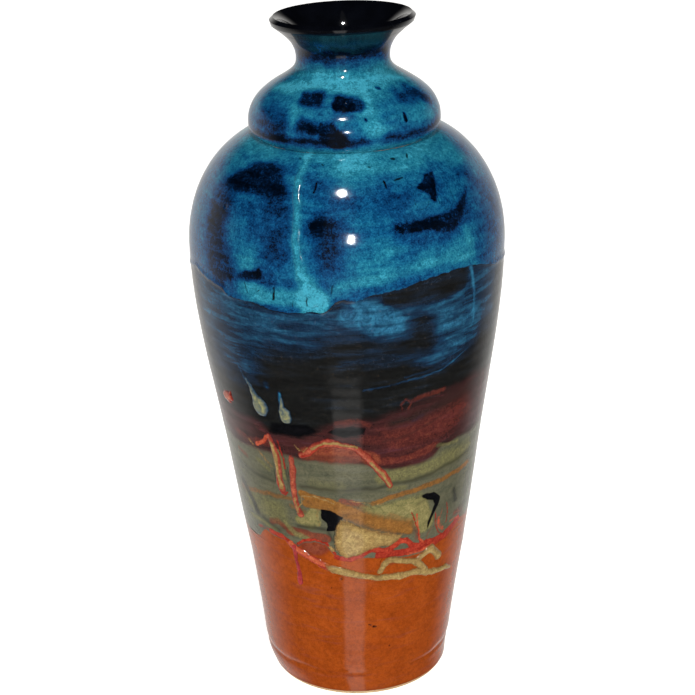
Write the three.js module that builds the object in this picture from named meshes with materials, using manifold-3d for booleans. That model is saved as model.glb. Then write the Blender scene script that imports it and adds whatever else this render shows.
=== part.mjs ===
// Stoneware vase: wheel-thrown in sections joined with slip, lined and coated with glazes, and
// decorated with runs and trails of glaze that stand proud of the coats.
// Millimetres, +Z up. The origin is the centre of the face that the vase stands on.

import * as THREE from 'three';
import { mergeVertices } from 'three/addons/utils/BufferGeometryUtils.js';
import Module from 'manifold-3d';

// ---- Driving dimensions ------------------------------------------------------------------

// Heights of the thrown sections, stacked from the foot to the neck, and of the flared mouth
const FOOT_H = 23;
const LOWER_H = 101;
const BELLY_H = 117;
const SHOULDER_H = 57;
const COLLAR_H = 35.8;
const MOUTH_H = 21.2;

// Radii of the glazed outside
const FOOT_R = 46.3;
const BELLY_R = 79.6;
const CREASE_R = 45.2;
const NECK_R = 22.9;

// How far the outline swings out over the foot, the lower wall, the collar and the lip
const FOOT_FLARE = 4.4;
const LOWER_FLARE = 14.2;
const COLLAR_BULGE = 2.3;
const LIP_FLARE = 12.7;

// Clay and glaze
const WALL = 4.6;
const NECK_WALL = 2.6;
const LIP_EDGE = 4.6;
const GLAZE = 0.6;
const FOOT_RING = 8;
const RECESS = 4;
const FLOOR = 7;
const BARE_FOOT = 2.5;

// Where one outer glaze gives way to the next: how far the blue comes down past the widest height,
// and how far the sunset and the terracotta reach up the belly and the lower wall
const BLUE_LAP = 6;
const SUNSET_REACH = 42;
const TERRACOTTA_REACH = 66;

// Slip joints between the clay sections, and the space left between touching pieces
const GROOVE = 1.2;
const GAP = 0.3;

// Fineness of the round surfaces
const SIDES = 32;
const RUN_SIDES = 8;

// ---- Heights and radii that follow --------------------------------------------------------

const LOWER_Z = FOOT_H;
const BELLY_Z = LOWER_Z + LOWER_H;
const SHOULDER_Z = BELLY_Z + BELLY_H;
const CREASE_Z = SHOULDER_Z + SHOULDER_H;
const NECK_Z = CREASE_Z + COLLAR_H;
const TOP_Z = NECK_Z + MOUTH_H;
const BLUE_EDGE_Z = SHOULDER_Z - BLUE_LAP;
const NIGHT_EDGE_Z = BELLY_Z + SUNSET_REACH;
const SUNSET_EDGE_Z = LOWER_Z + TERRACOTTA_REACH;
const FOOT_TOP_R = FOOT_R + FOOT_FLARE;
const LOWER_TOP_R = FOOT_TOP_R + LOWER_FLARE;
const COLLAR_R = CREASE_R + COLLAR_BULGE;
const LIP_R = NECK_R + LIP_FLARE;

// Depth of the clay under the glazed surface, inside and outside
const UNDER = GLAZE + GAP;

// ---- Outlines, as points [radius, height] --------------------------------------------------

// A stretch of outline between two points that leaves and arrives along the given handles
function bend([r0, z0], handle0, handle1, [r1, z1], rows) {
  const curve = new THREE.CubicBezierCurve(
    new THREE.Vector2(r0, z0),
    new THREE.Vector2(r0 + handle0[0], z0 + handle0[1]),
    new THREE.Vector2(r1 + handle1[0], z1 + handle1[1]),
    new THREE.Vector2(r1, z1),
  );
  return curve.getPoints(rows).map((point) => [point.x, point.y]);
}

// Stretches joined end to end, with each shared point kept once
function chain(...stretches) {
  return stretches.flatMap((stretch, i) => (i === 0 ? stretch : stretch.slice(1)));
}

// The outline moved sideways, to its left where the distance is positive
function offset(line, distance) {
  return line.map(([r, z], i) => {
    const before = line[Math.max(i - 1, 0)];
    const after = line[Math.min(i + 1, line.length - 1)];
    const back = new THREE.Vector2(r - before[0], z - before[1]).normalize();
    const ahead = new THREE.Vector2(after[0] - r, after[1] - z).normalize();
    const along = new THREE.Vector2().addVectors(back, ahead).normalize();
    const stretch = 1 / along.dot(back.lengthSq() > 0 ? back : ahead);
    return [Math.max(0, r - along.y * distance * stretch), z + along.x * distance * stretch];
  });
}

// The part of a rising outline between two heights, with points added at both that are finite
function between(line, low, high) {
  const near = 0.4;
  const middle = line.filter(([, z]) => z > low + near && z < high - near);
  const first = Number.isFinite(low) ? [[radiusAt(line, low), low]] : [];
  const last = Number.isFinite(high) ? [[radiusAt(line, high), high]] : [];
  return [...first, ...middle, ...last];
}

// The radius of a rising outline at one height
function radiusAt(line, height) {
  const above = line.findIndex(([, z]) => z >= height);
  if (above <= 0) return line[above === 0 ? 0 : line.length - 1][0];
  const [r0, z0] = line[above - 1];
  const [r1, z1] = line[above];
  return r0 + ((r1 - r0) * (height - z0)) / (z1 - z0);
}

// The lip is half a circle that joins the flare outside to the funnel inside
const LIP_ROUND = LIP_EDGE / 2;
const LIP_MID = [LIP_R - LIP_ROUND, TOP_Z - LIP_ROUND];
const LIP_UNDER = THREE.MathUtils.degToRad(-50);
const LIP_INNER = THREE.MathUtils.degToRad(115);

function lipPoint(angle) {
  return [LIP_MID[0] + LIP_ROUND * Math.cos(angle), LIP_MID[1] + LIP_ROUND * Math.sin(angle)];
}

function lipHandle(angle, length) {
  return [Math.sin(angle) * length, -Math.cos(angle) * length];
}

// Outside, from the foot up to the underside of the lip
const BULGE_Z = CREASE_Z + 4.8;
const SLOPE_MID = [NECK_R + (COLLAR_R - NECK_R) * 0.55, CREASE_Z + COLLAR_H * 0.63];
const SLOPE = [(NECK_R - COLLAR_R) * 0.3, COLLAR_H * 0.14];
const DOWN_SLOPE = SLOPE.map((s) => -s);
const skin = chain(
  bend([FOOT_R, 0], [1.8, 8], [-0.9, -8], [FOOT_TOP_R, LOWER_Z], 2),
  bend([FOOT_TOP_R, LOWER_Z], [3.8, 34], [-4.6, -34], [LOWER_TOP_R, BELLY_Z], 2),
  bend([LOWER_TOP_R, BELLY_Z], [5.6, 42], [0, -36], [BELLY_R, SHOULDER_Z], 4),
  bend([BELLY_R, SHOULDER_Z], [0, 28], [20, -7.5], [CREASE_R, CREASE_Z], 6),
  bend([CREASE_R, CREASE_Z], [1.4, 1], [0, -2.3], [COLLAR_R, BULGE_Z], 2),
  bend([COLLAR_R, BULGE_Z], [0, 8], DOWN_SLOPE, SLOPE_MID, 3),
  bend(SLOPE_MID, SLOPE, [0, -6], [NECK_R, NECK_Z], 3),
  bend([NECK_R, NECK_Z], [0, 9], lipHandle(LIP_UNDER, 6.5), lipPoint(LIP_UNDER), 4),
);

// Inside, from the underside of the lip over its edge and down to the middle of the floor
const LIP_ROWS = 4;
const lip = [];
for (let step = 0; step <= LIP_ROWS; step += 1) {
  lip.push(lipPoint(LIP_UNDER + ((LIP_INNER - LIP_UNDER) * step) / LIP_ROWS));
}
const THICK = WALL + 2 * UNDER;
const THROAT_R = NECK_R - NECK_WALL - 2 * UNDER;
const FLOOR_Z = RECESS + FLOOR + UNDER;
const FLOOR_R = FOOT_TOP_R - THICK - 14;
const COLLAR_IN_R = CREASE_R - THICK;
const ACROSS = new THREE.Vector2(-SLOPE[1], SLOPE[0]).setLength(THICK);
const SLOPE_IN = [SLOPE_MID[0] + ACROSS.x, SLOPE_MID[1] + ACROSS.y];
const hollow = chain(
  lip,
  bend(lipPoint(LIP_INNER), lipHandle(LIP_INNER, -7), [0, 8], [THROAT_R, NECK_Z + 2], 3),
  bend([THROAT_R, NECK_Z + 2], [0, -9], SLOPE, SLOPE_IN, 2),
  bend(SLOPE_IN, DOWN_SLOPE, [0, 9], [COLLAR_IN_R, CREASE_Z], 3),
  bend([COLLAR_IN_R, CREASE_Z], [0, -3], [0, 36], [BELLY_R - THICK, SHOULDER_Z], 5),
  bend([BELLY_R - THICK, SHOULDER_Z], [0, -36], [5.6, 42], [LOWER_TOP_R - THICK, BELLY_Z], 4),
  bend([LOWER_TOP_R - THICK, BELLY_Z], [-5, -34], [1.5, 20], [FOOT_TOP_R - THICK, LOWER_Z + 6], 2),
  bend([FOOT_TOP_R - THICK, LOWER_Z + 6], [-1, -12], [9, 0], [FLOOR_R, FLOOR_Z], 3),
  [[FLOOR_R, FLOOR_Z], [0, FLOOR_Z]],
);

// The whole glazed surface in one line, and the same line under the glaze
const surface = chain(skin, hollow);
const underGlaze = offset(surface, GLAZE);
const clay = offset(surface, UNDER);
const outside = (line) => line.slice(0, skin.length);
const inside = (line) => line.slice(skin.length - 1);

// ---- Solids --------------------------------------------------------------------------------

const vase = new THREE.Group();

function finish(colour, roughness) {
  return new THREE.MeshStandardMaterial({ color: colour, roughness, metalness: 0 });
}

function add(name, geometry, material) {
  const mesh = new THREE.Mesh(geometry, material);
  mesh.name = name;
  vase.add(mesh);
}

// A closed outline turned on the wheel. It runs anticlockwise, with the axis on its left.
function turn(outline) {
  const points = outline.map(([r, z]) => new THREE.Vector2(r, z));
  if (THREE.ShapeUtils.area(points) < 0) points.reverse();
  points.push(points[0].clone());
  return new THREE.LatheGeometry(points, SIDES).rotateX(Math.PI / 2);
}

// A V-shaped slip joint in the top of one section or the bottom of the next, from outside to inside
function joint(height, side) {
  const outer = radiusAt(outside(clay), height);
  const inner = radiusAt(inside(clay).toReversed(), height);
  const middle = (outer + inner) / 2;
  const half = (outer - inner) * 0.3;
  const face = height + (side * GAP) / 2;
  return [[middle + half, face], [middle, face - GROOVE], [middle - half, face]];
}

// A ring of clay between two joints, or between a joint and the lip
function section(low, high) {
  const bottom = low + GAP / 2;
  const top = high - GAP / 2;
  return turn([
    ...between(outside(clay), bottom, top),
    ...(Number.isFinite(high) ? joint(high, -1) : []),
    ...between(inside(clay).toReversed(), bottom, top).reverse(),
    ...joint(low, 1).reverse(),
  ]);
}

// A coat of glaze on the outside between two heights
function coat(low, high) {
  const bottom = low + GAP / 2;
  const top = high - GAP / 2;
  return turn([
    ...between(outside(surface), bottom, top),
    ...between(outside(underGlaze), bottom, top).reverse(),
  ]);
}

// ---- The clay body -------------------------------------------------------------------------

const bareClay = finish('#b79c7d', 0.85);

// The foot is turned to a ring with a shallow recess under the floor
const FOOT_CHAMFER = 1.2;
const footOutside = between(outside(clay), -Infinity, FOOT_H - GAP / 2);
const footInside = between(inside(clay).toReversed(), -Infinity, FOOT_H - GAP / 2);
const clayFootR = footOutside[0][0];
add('foot_base', turn([
  [0, RECESS],
  [clayFootR - FOOT_RING - 2, RECESS],
  [clayFootR - FOOT_RING, 0],
  [clayFootR - FOOT_CHAMFER, 0],
  [radiusAt(footOutside, FOOT_CHAMFER), FOOT_CHAMFER],
  ...footOutside.slice(1),
  ...joint(FOOT_H, -1),
  ...footInside.reverse(),
]), bareClay);

add('lower_wall', section(LOWER_Z, BELLY_Z), bareClay);
add('belly_wall', section(BELLY_Z, SHOULDER_Z), bareClay);
add('shoulder', section(SHOULDER_Z, CREASE_Z), bareClay);
add('collar', section(CREASE_Z, NECK_Z), bareClay);
add('neck_and_lip', section(NECK_Z, Infinity), bareClay);

// ---- The coats of glaze --------------------------------------------------------------------

const black = finish('#15171a', 0.12);
const blue = finish('#1c6c93', 0.12);

// The liner covers the inside, the funnel and the edge of the lip
add('liner_glaze', turn([...inside(surface), ...inside(underGlaze).toReversed()]), black);

const lipEdgeZ = lipPoint(LIP_UNDER)[1];
add('collar_glaze', coat(CREASE_Z, lipEdgeZ - GAP), blue);
add('shoulder_glaze', coat(BLUE_EDGE_Z, CREASE_Z), blue);
add('night_glaze', coat(NIGHT_EDGE_Z, BLUE_EDGE_Z), black);
add('sunset_glaze', coat(SUNSET_EDGE_Z, NIGHT_EDGE_Z), finish('#7b5a45', 0.15));
add('terracotta_glaze', coat(BARE_FOOT, SUNSET_EDGE_Z), finish('#a0430f', 0.12));

// ---- Runs, trails and pools of glaze -------------------------------------------------------

const wasm = await Module();
wasm.setup();

// A closed mesh as a manifold-3d solid
function solid(geometry) {
  const bare = geometry.clone();
  bare.deleteAttribute('normal');
  bare.deleteAttribute('uv');
  const merged = mergeVertices(bare, 1e-4);
  const corners = merged.index.array;
  const kept = [];
  for (let i = 0; i < corners.length; i += 3) {
    const [a, b, c] = corners.slice(i, i + 3);
    if (a !== b && b !== c && c !== a) kept.push(a, b, c);
  }
  const vertProperties = new Float32Array(merged.attributes.position.array);
  const triVerts = new Uint32Array(kept);
  return new wasm.Manifold(new wasm.Mesh({ numProp: 3, vertProperties, triVerts }));
}

function geometryOf(manifold) {
  const { vertProperties, triVerts } = manifold.getMesh();
  const geometry = new THREE.BufferGeometry();
  geometry.setAttribute('position', new THREE.BufferAttribute(vertProperties, 3));
  geometry.setIndex(new THREE.BufferAttribute(triVerts, 1));
  geometry.computeVertexNormals();
  return geometry;
}

// The vase as a plain full body, grown past its glaze by a distance
function body(grown) {
  const line = offset(skin, -grown);
  const top = line[line.length - 1][1];
  return solid(turn([[0, line[0][1]], ...line, [0, top]]));
}

const keepOut = body(GAP);

// A point at a depth under the glazed surface. The angle is from the front, to the right.
function place([angle, height], depth) {
  const around = THREE.MathUtils.degToRad(angle);
  const radius = radiusAt(skin, height) - depth;
  return new THREE.Vector3(radius * Math.sin(around), -radius * Math.cos(around), height);
}

// A round cord laid along the surface, with a ball at each end
function cord(route, thickness, depth) {
  const path = new THREE.CatmullRomCurve3(route.map((stop) => place(stop, depth)), false, 'centripetal');
  const ring = new THREE.Shape();
  ring.absarc(0, 0, thickness, 0, 2 * Math.PI);
  const steps = Math.ceil(path.getLength() / 4);
  const tube = new THREE.ExtrudeGeometry(ring, { extrudePath: path, steps, curveSegments: RUN_SIDES / 2 });
  let whole = solid(tube);
  for (const end of [path.getPoint(0), path.getPoint(1)]) {
    const ball = new THREE.SphereGeometry(thickness * 0.97, RUN_SIDES, RUN_SIDES / 2);
    whole = whole.add(solid(ball.translate(end.x, end.y, end.z)));
  }
  return whole;
}

// A run is a cord that is mostly sunk, so that a low rounded ridge stands on the coat.
// Its width is measured at the coat, and its rise is how far it stands out.
function run(route, width, rise, margin = 0) {
  const thickness = (width * width) / (8 * rise) + rise / 2;
  return cord(route, thickness + margin, thickness - rise);
}

// A pool is a flat drop of glaze with a rounded outline, given as points round its edge
function pool(outline, thickness) {
  const centre = outline.reduce((sum, [angle]) => sum + angle, 0) / outline.length;
  const turned = THREE.MathUtils.degToRad(centre);
  const corners = outline.map(([angle, height]) => {
    const away = THREE.MathUtils.degToRad(angle - centre);
    return new THREE.Vector2(radiusAt(skin, height) * Math.sin(away), height);
  });
  const edge = new THREE.SplineCurve([...corners, corners[0]]).getPoints(corners.length * 3);
  const block = new THREE.ExtrudeGeometry(new THREE.Shape(edge), { depth: BELLY_R, bevelEnabled: false });
  const across = new THREE.Vector3(Math.cos(turned), Math.sin(turned), 0);
  const up = new THREE.Vector3(0, 0, 1);
  const out = new THREE.Vector3(Math.sin(turned), -Math.cos(turned), 0);
  block.translate(0, 0, FOOT_R / 2);
  block.applyMatrix4(new THREE.Matrix4().makeBasis(across, up, out));
  return solid(block).intersect(body(GAP + thickness));
}

const ridges = [];
function addRidge(name, piece, grown, material) {
  let cut = piece;
  for (const other of ridges) cut = cut.subtract(other);
  add(name, geometryOf(cut.subtract(keepOut)), material);
  ridges.push(grown);
}

function addRun(name, route, width, rise, material) {
  addRidge(name, run(route, width, rise), run(route, width, rise, GAP), material);
}

// Stops of a route, with their heights counted from a level
const from = (level, stops) => stops.map(([angle, height]) => [angle, level + height]);

const turquoise = finish('#3f9db4', 0.1);
const ember = finish('#c2512f', 0.12);
const cream = finish('#b8a66f', 0.15);
const straw = finish('#9a9455', 0.15);
const crimson = finish('#8d2430', 0.12);

// This run crosses the shoulder, so its stops are shares of the way from its blue edge to the crease
const acrossShoulder = ([angle, share]) => [angle, BLUE_EDGE_Z + share * (CREASE_Z - BLUE_EDGE_Z)];
addRun('turquoise_run', [
  [-21.5, 0.91], [-20.5, 0.8], [-19.7, 0.68], [-18.8, 0.56],
  [-18, 0.43], [-17.2, 0.32], [-15.5, 0.2], [-13.5, 0.1], [-12, 0.02],
].map(acrossShoulder), 4.4, 0.8, turquoise);

addRun('left_straw_drip', from(NIGHT_EDGE_Z, [[-43, 24], [-41.5, 19], [-39.8, 14], [-38.5, 10], [-38, 7]]),
  4.8, 0.9, straw);
addRun('right_straw_drip', from(NIGHT_EDGE_Z, [[-28, 18], [-27.7, 13], [-27, 8], [-26.5, 4]]),
  4.2, 0.9, straw);

addRun('left_ember_run', from(SUNSET_EDGE_Z, [
  [-35, 67], [-34.2, 61], [-33.8, 54], [-34.5, 47], [-34.8, 41], [-33.5, 36],
]), 4.2, 0.8, ember);
addRun('middle_ember_run', from(SUNSET_EDGE_Z, [
  [-27, 58], [-27.3, 51], [-27.8, 44], [-28, 37], [-27.2, 30], [-25.8, 24.5],
]), 3.6, 0.8, ember);
addRun('ember_arc', from(SUNSET_EDGE_Z, [
  [-22, 61], [-18.5, 63.5], [-15, 67.5], [-11, 69.5], [-6, 69], [-1, 67],
  [3, 64], [6, 60], [8.5, 55.5], [11.5, 50.5], [14, 46.5], [15.5, 42.5],
]), 4.2, 0.8, ember);

const POOL_RISE = 0.7;
const creamEdge = from(SUNSET_EDGE_Z, [
  [-9.5, 19], [-7, 24], [-4, 23.5], [0, 21], [6, 17.5], [12, 15], [18, 13],
  [22, 11], [20, 8.5], [15.5, 6], [10, 6.5], [4.5, 4.5], [0, 2], [-4, 1], [-8, 2.5], [-10, 8],
]);
addRidge('cream_pool', pool(creamEdge, POOL_RISE), pool(creamEdge, POOL_RISE + GAP), cream);

const emberEdge = from(NIGHT_EDGE_Z, [
  [-55.5, 10], [-60, 8], [-63.5, 5], [-62, 2], [-58, 1.5], [-55, 4],
]);
addRidge('ember_pool', pool(emberEdge, POOL_RISE), pool(emberEdge, POOL_RISE + GAP), ember);

addRun('long_trail', from(SUNSET_EDGE_Z, [
  [-37, 7], [-33, 4.5], [-28, 1], [-22, -2.2], [-17, -4.7], [-12, -7], [-6, -8.5], [0, -10.2], [8, -12.4],
  [14, -13.4], [22, -13.8], [29, -13.6], [33.5, -14.7], [38, -17.2], [44, -18.5], [52, -20], [58, -22.2],
]), 4, 1, cream);
addRun('forked_trail', from(SUNSET_EDGE_Z, [
  [11, -9], [12.3, -5.7], [14.5, -3], [18, -2.8], [22.5, -4.4], [27, -6], [30.5, -7.5], [34, -11], [37, -15],
]), 3.6, 1, cream);
addRun('hooked_trail', from(SUNSET_EDGE_Z, [
  [30, -7], [34, -5], [39, -2.5], [42, -4.5], [44, -7.5], [45.5, -9.5],
]), 3.8, 1, cream);
addRun('crimson_drip', from(SUNSET_EDGE_Z, [[-31.5, 3], [-31.5, -4], [-31.5, -11], [-31.5, -18]]),
  3.6, 0.7, crimson);

export default vase;
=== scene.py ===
# %% [markdown]
# # A stoneware vase with layered glazes
# The vase is thrown on the wheel in sections, lined with black glaze and coated outside with bands of
# coloured glaze. Runs, trails and pools of thicker glaze stand on the coats. The CAD model holds the
# sizes. This lesson turns fine surfaces over it, paints them and lights them.

# %% The frame
import math
import bpy
import numpy as np
from mathutils import Matrix, Vector
from mathutils.geometry import interpolate_bezier


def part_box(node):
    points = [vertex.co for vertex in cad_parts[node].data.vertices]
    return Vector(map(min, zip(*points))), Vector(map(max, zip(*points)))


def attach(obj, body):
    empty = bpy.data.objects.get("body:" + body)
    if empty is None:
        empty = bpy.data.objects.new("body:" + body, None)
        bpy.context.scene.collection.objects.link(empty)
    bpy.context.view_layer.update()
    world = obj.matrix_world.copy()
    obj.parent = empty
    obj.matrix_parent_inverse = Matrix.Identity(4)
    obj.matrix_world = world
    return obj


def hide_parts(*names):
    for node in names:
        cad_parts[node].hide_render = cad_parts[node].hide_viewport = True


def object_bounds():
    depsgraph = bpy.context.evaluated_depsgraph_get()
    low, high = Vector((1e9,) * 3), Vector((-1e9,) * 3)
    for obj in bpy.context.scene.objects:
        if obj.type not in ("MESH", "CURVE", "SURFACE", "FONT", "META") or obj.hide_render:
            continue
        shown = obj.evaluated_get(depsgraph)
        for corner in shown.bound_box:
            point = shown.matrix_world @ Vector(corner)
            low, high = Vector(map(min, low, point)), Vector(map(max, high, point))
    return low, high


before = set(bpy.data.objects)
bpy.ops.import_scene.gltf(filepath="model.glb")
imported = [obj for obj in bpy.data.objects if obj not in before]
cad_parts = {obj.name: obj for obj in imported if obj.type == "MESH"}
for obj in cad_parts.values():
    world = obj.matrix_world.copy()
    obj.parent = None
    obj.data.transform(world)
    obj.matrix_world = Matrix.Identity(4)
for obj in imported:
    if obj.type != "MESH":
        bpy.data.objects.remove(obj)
cad_box = [list(corner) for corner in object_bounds()]
MM = 0.001
HEIGHT = cad_box[1][2] - cad_box[0][2]
print("CAD box in metres:", cad_box)

# %% [markdown]
# The camera comes first, because it decides how much detail each side needs. It is held by hand, about
# 0.9 m in front of the vase and 0.56 m above the table, tilted down and rolled a little. Its turn is built
# from three directions, ahead, right and above, which is easier to follow than three Euler angles.

# %% Camera
SENSOR_MM = 36
LENS_PER_SENSOR = 2.755
AWAY = 2.58 * HEIGHT
ABOVE_TABLE = 1.57 * HEIGHT
PITCH = math.radians(22.375)
YAW = math.radians(-0.096)
ROLL = math.radians(-1.824)


def add_camera():
    bpy.ops.object.camera_add()
    camera = bpy.context.object
    camera.name = "camera"
    camera.data.sensor_width = SENSOR_MM
    camera.data.lens = SENSOR_MM * LENS_PER_SENSOR
    level = math.cos(PITCH)
    ahead = Vector((math.sin(YAW) * level, math.cos(YAW) * level, -math.sin(PITCH)))
    side = ahead.cross(Vector((0, 0, 1))).normalized()
    up = side.cross(ahead)
    right = side * math.cos(ROLL) + up * math.sin(ROLL)
    above = up * math.cos(ROLL) - side * math.sin(ROLL)
    turn = Matrix((right, above, -ahead)).transposed().to_4x4()
    camera.matrix_world = Matrix.Translation((0, -AWAY, ABOVE_TABLE)) @ turn
    bpy.context.scene.camera = camera
    return camera


camera = add_camera()
print("camera at", tuple(round(v, 3) for v in camera.matrix_world.translation))

# %% [markdown]
# ## The outline
# The outline of the glazed outside is a chain of Bézier curves, the same kind that a pen tool draws.
# The heights come from the CAD pieces, and the radii and handles are the potter's own measures in
# millimetres. It could be had by smoothing the CAD facets, but drawing it again gives a clean curve, and
# every later piece can ask this curve for its radius.

# %% Heights and radii
SLIP = 0.15


def top_of(node):
    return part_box(node)[1][2] / MM


LOWER_Z = top_of("foot_base") + SLIP
BELLY_Z = top_of("lower_wall") + SLIP
SHOULDER_Z = top_of("belly_wall") + SLIP
CREASE_Z = top_of("shoulder_glaze") + SLIP
NECK_Z = top_of("collar") + SLIP
TOP_Z = HEIGHT / MM
BLUE_EDGE_Z = top_of("night_glaze") + SLIP
NIGHT_EDGE_Z = top_of("sunset_glaze") + SLIP
SUNSET_EDGE_Z = top_of("terracotta_glaze") + SLIP
BARE_Z = 2.6
BULGE_Z = CREASE_Z + 4.8

FOOT_R, FOOT_TOP_R, LOWER_TOP_R, BELLY_R = 46.3, 50.7, 64.9, 79.6
CREASE_R, COLLAR_R, NECK_R, LIP_R = 45.2, 47.5, 22.9, 35.6
WALL, NECK_WALL, GLAZE, LIP_ROUND = 6.4, 4.4, 0.6, 2.3
FLOOR_Z, RECESS, FOOT_RING = 11.9, 4, 8
print("joints of the clay at", [round(z, 1) for z in (LOWER_Z, BELLY_Z, SHOULDER_Z, CREASE_Z, NECK_Z)], "mm")

# %% [markdown]
# A curve between two points is shaped by its two handles. Where two curves meet, the handles lie on one
# line, so the wall goes on smoothly. The crease under the collar is the one place where they don't.

# %% Skin and hollow
def bend(start, leave, arrive, end, rows=60):
    """One Bézier curve between two points, each with its handle."""
    first, last = (Vector((*knot, 0)) for knot in (start, end))
    handles = (first + Vector((*leave, 0)), last + Vector((*arrive, 0)))
    points = interpolate_bezier(first, *handles, last, rows)
    return [(point.x, point.y) for point in points]


def lip_point(degrees):
    """A point of the round lip, at an angle up from the outside."""
    turn = math.radians(degrees)
    return (LIP_R - LIP_ROUND * (1 - math.cos(turn)), TOP_Z - LIP_ROUND * (1 - math.sin(turn)))


SLOPE_MID = (NECK_R + (COLLAR_R - NECK_R) * 0.55, CREASE_Z + (NECK_Z - CREASE_Z) * 0.63)
SLOPE_IN = (SLOPE_MID[0] - 3.6, SLOPE_MID[1] - 5.3)
UP_SLOPE = (-7.4, 5.0)
DOWN_SLOPE = (7.4, -5.0)
BELLY_IN_R, LOWER_TOP_IN_R, FOOT_TOP_IN_R = BELLY_R - WALL, LOWER_TOP_R - WALL, FOOT_TOP_R - WALL
NECK_IN = (NECK_R - NECK_WALL, NECK_Z + 2)
COLLAR_IN = (CREASE_R - WALL, CREASE_Z)
FLOOR_BEND = (FOOT_TOP_IN_R, LOWER_Z + 6)
FLOOR_EDGE = (FOOT_TOP_IN_R - 14, FLOOR_Z)
OUTER_LIP, INNER_LIP, LIP_STEPS = -50, 115, 30

skin = [
    *bend((FOOT_R, 0), (1.8, 8), (-0.9, -8), (FOOT_TOP_R, LOWER_Z)),
    *bend((FOOT_TOP_R, LOWER_Z), (3.8, 34), (-4.6, -34), (LOWER_TOP_R, BELLY_Z))[1:],
    *bend((LOWER_TOP_R, BELLY_Z), (5.6, 42), (0, -36), (BELLY_R, SHOULDER_Z))[1:],
    *bend((BELLY_R, SHOULDER_Z), (0, 28), (20, -7.5), (CREASE_R, CREASE_Z))[1:],
    *bend((CREASE_R, CREASE_Z), (1.4, 1), (0, -2.3), (COLLAR_R, BULGE_Z))[1:],
    *bend((COLLAR_R, BULGE_Z), (0, 8), DOWN_SLOPE, SLOPE_MID)[1:],
    *bend(SLOPE_MID, UP_SLOPE, (0, -6), (NECK_R, NECK_Z))[1:],
    *bend((NECK_R, NECK_Z), (0, 9), (-5, -4.2), lip_point(OUTER_LIP))[1:],
]
lip = [lip_point(OUTER_LIP + (INNER_LIP - OUTER_LIP) * step / LIP_STEPS) for step in range(LIP_STEPS + 1)]
hollow = [
    *lip,
    *bend(lip[-1], (-6.3, -3), (0, 8), NECK_IN)[1:],
    *bend(NECK_IN, (0, -9), UP_SLOPE, SLOPE_IN)[1:],
    *bend(SLOPE_IN, DOWN_SLOPE, (0, 9), COLLAR_IN)[1:],
    *bend(COLLAR_IN, (0, -3), (0, 36), (BELLY_IN_R, SHOULDER_Z))[1:],
    *bend((BELLY_IN_R, SHOULDER_Z), (0, -36), (5.6, 42), (LOWER_TOP_IN_R, BELLY_Z))[1:],
    *bend((LOWER_TOP_IN_R, BELLY_Z), (-5, -34), (1.5, 20), FLOOR_BEND)[1:],
    *bend(FLOOR_BEND, (-1, -12), (9, 0), FLOOR_EDGE)[1:],
    (0.0, FLOOR_Z),
]
print("outline:", len(skin), "points outside and", len(hollow), "inside")

# %% [markdown]
# Three tools work on such a line. One spaces its points evenly, so that a turned mesh has faces of one size.
# One moves it into the wall, for the back of a coat. One cuts out the stretch between two heights.

# %% Tools for a line
skin_r, skin_z = np.array(skin).T


def radius_at(height):
    """The radius of the glazed outside at a height."""
    return np.interp(height, skin_z, skin_r)


def evenly(line, spacing):
    """The same line with its points set evenly along it."""
    line = np.array(line)
    run = np.concatenate([[0], np.cumsum(np.hypot(*np.diff(line, axis=0).T))])
    stops = np.linspace(0, run[-1], max(2, round(run[-1] / spacing)) + 1)
    return np.column_stack([np.interp(stops, run, line[:, 0]), np.interp(stops, run, line[:, 1])])


def moved_in(line, depth):
    """The line moved into the clay, which is on its left."""
    line = np.array(line)
    along = np.gradient(line, axis=0)
    along /= np.linalg.norm(along, axis=1)[:, None]
    radii = np.maximum(line[:, 0] - along[:, 1] * depth, 0)
    return np.column_stack([radii, line[:, 1] + along[:, 0] * depth])


def between(low, high):
    """The skin between two heights."""
    heights = [low, *[z for z in skin_z if low < z < high], high]
    return [(float(radius_at(z)), z) for z in heights]


print("widest radius", round(float(skin_r.max()), 1), "mm")

# %% [markdown]
# No thrown pot is perfectly round or upright. This vase leans a little at the neck, and its mouth tips
# towards the front. Every piece goes through the same small change of its points, so they still fit each
# other, which turning each object by hand wouldn't give. The smooth noise is for glaze, later on.

# %% The potter's hand
LEAN_Z = (0, 71, 142, 213, 284, TOP_Z)
LEAN_X = (-1.3, 0.3, 0, -0.2, 0.2, 1.1)
MOUTH_TIP_RIGHT = 0.0087
MOUTH_TIP_FRONT = 0.0334
LATTICE = 32


def smooth(low, high, value):
    """From 0 at low to 1 at high, with no corner at either end."""
    share = np.clip((value - low) / (high - low), 0, 1)
    return share * share * (3 - 2 * share)


def hand(points):
    """The points with the vase's lean and the tip of its mouth."""
    x, y, z = points.T
    mouth = smooth(CREASE_Z + 20, TOP_Z - 6, z)
    lean = np.interp(z, LEAN_Z, LEAN_X) * smooth(0, 12, z)
    return np.column_stack([x + lean, y, z + mouth * (MOUTH_TIP_RIGHT * x - MOUTH_TIP_FRONT * y)])


def wander(points, size, seed):
    """Smooth noise from -1 to 1 on a lattice of random numbers, with the given size in millimetres."""
    lattice = np.random.default_rng(seed).uniform(-1, 1, (LATTICE, LATTICE, LATTICE))
    place = points / size
    cell = np.floor(place).astype(int)
    share = smooth(0, 1, place - cell)
    total = np.zeros(len(points))
    for corner in np.ndindex(2, 2, 2):
        weight = np.prod(np.where(np.array(corner) == 1, share, 1 - share), axis=1)
        i, j, k = ((cell + corner) % LATTICE).T
        total += weight * lattice[i, j, k]
    return total


print("the mouth leans", LEAN_X[-1], "mm to the right")

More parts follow.
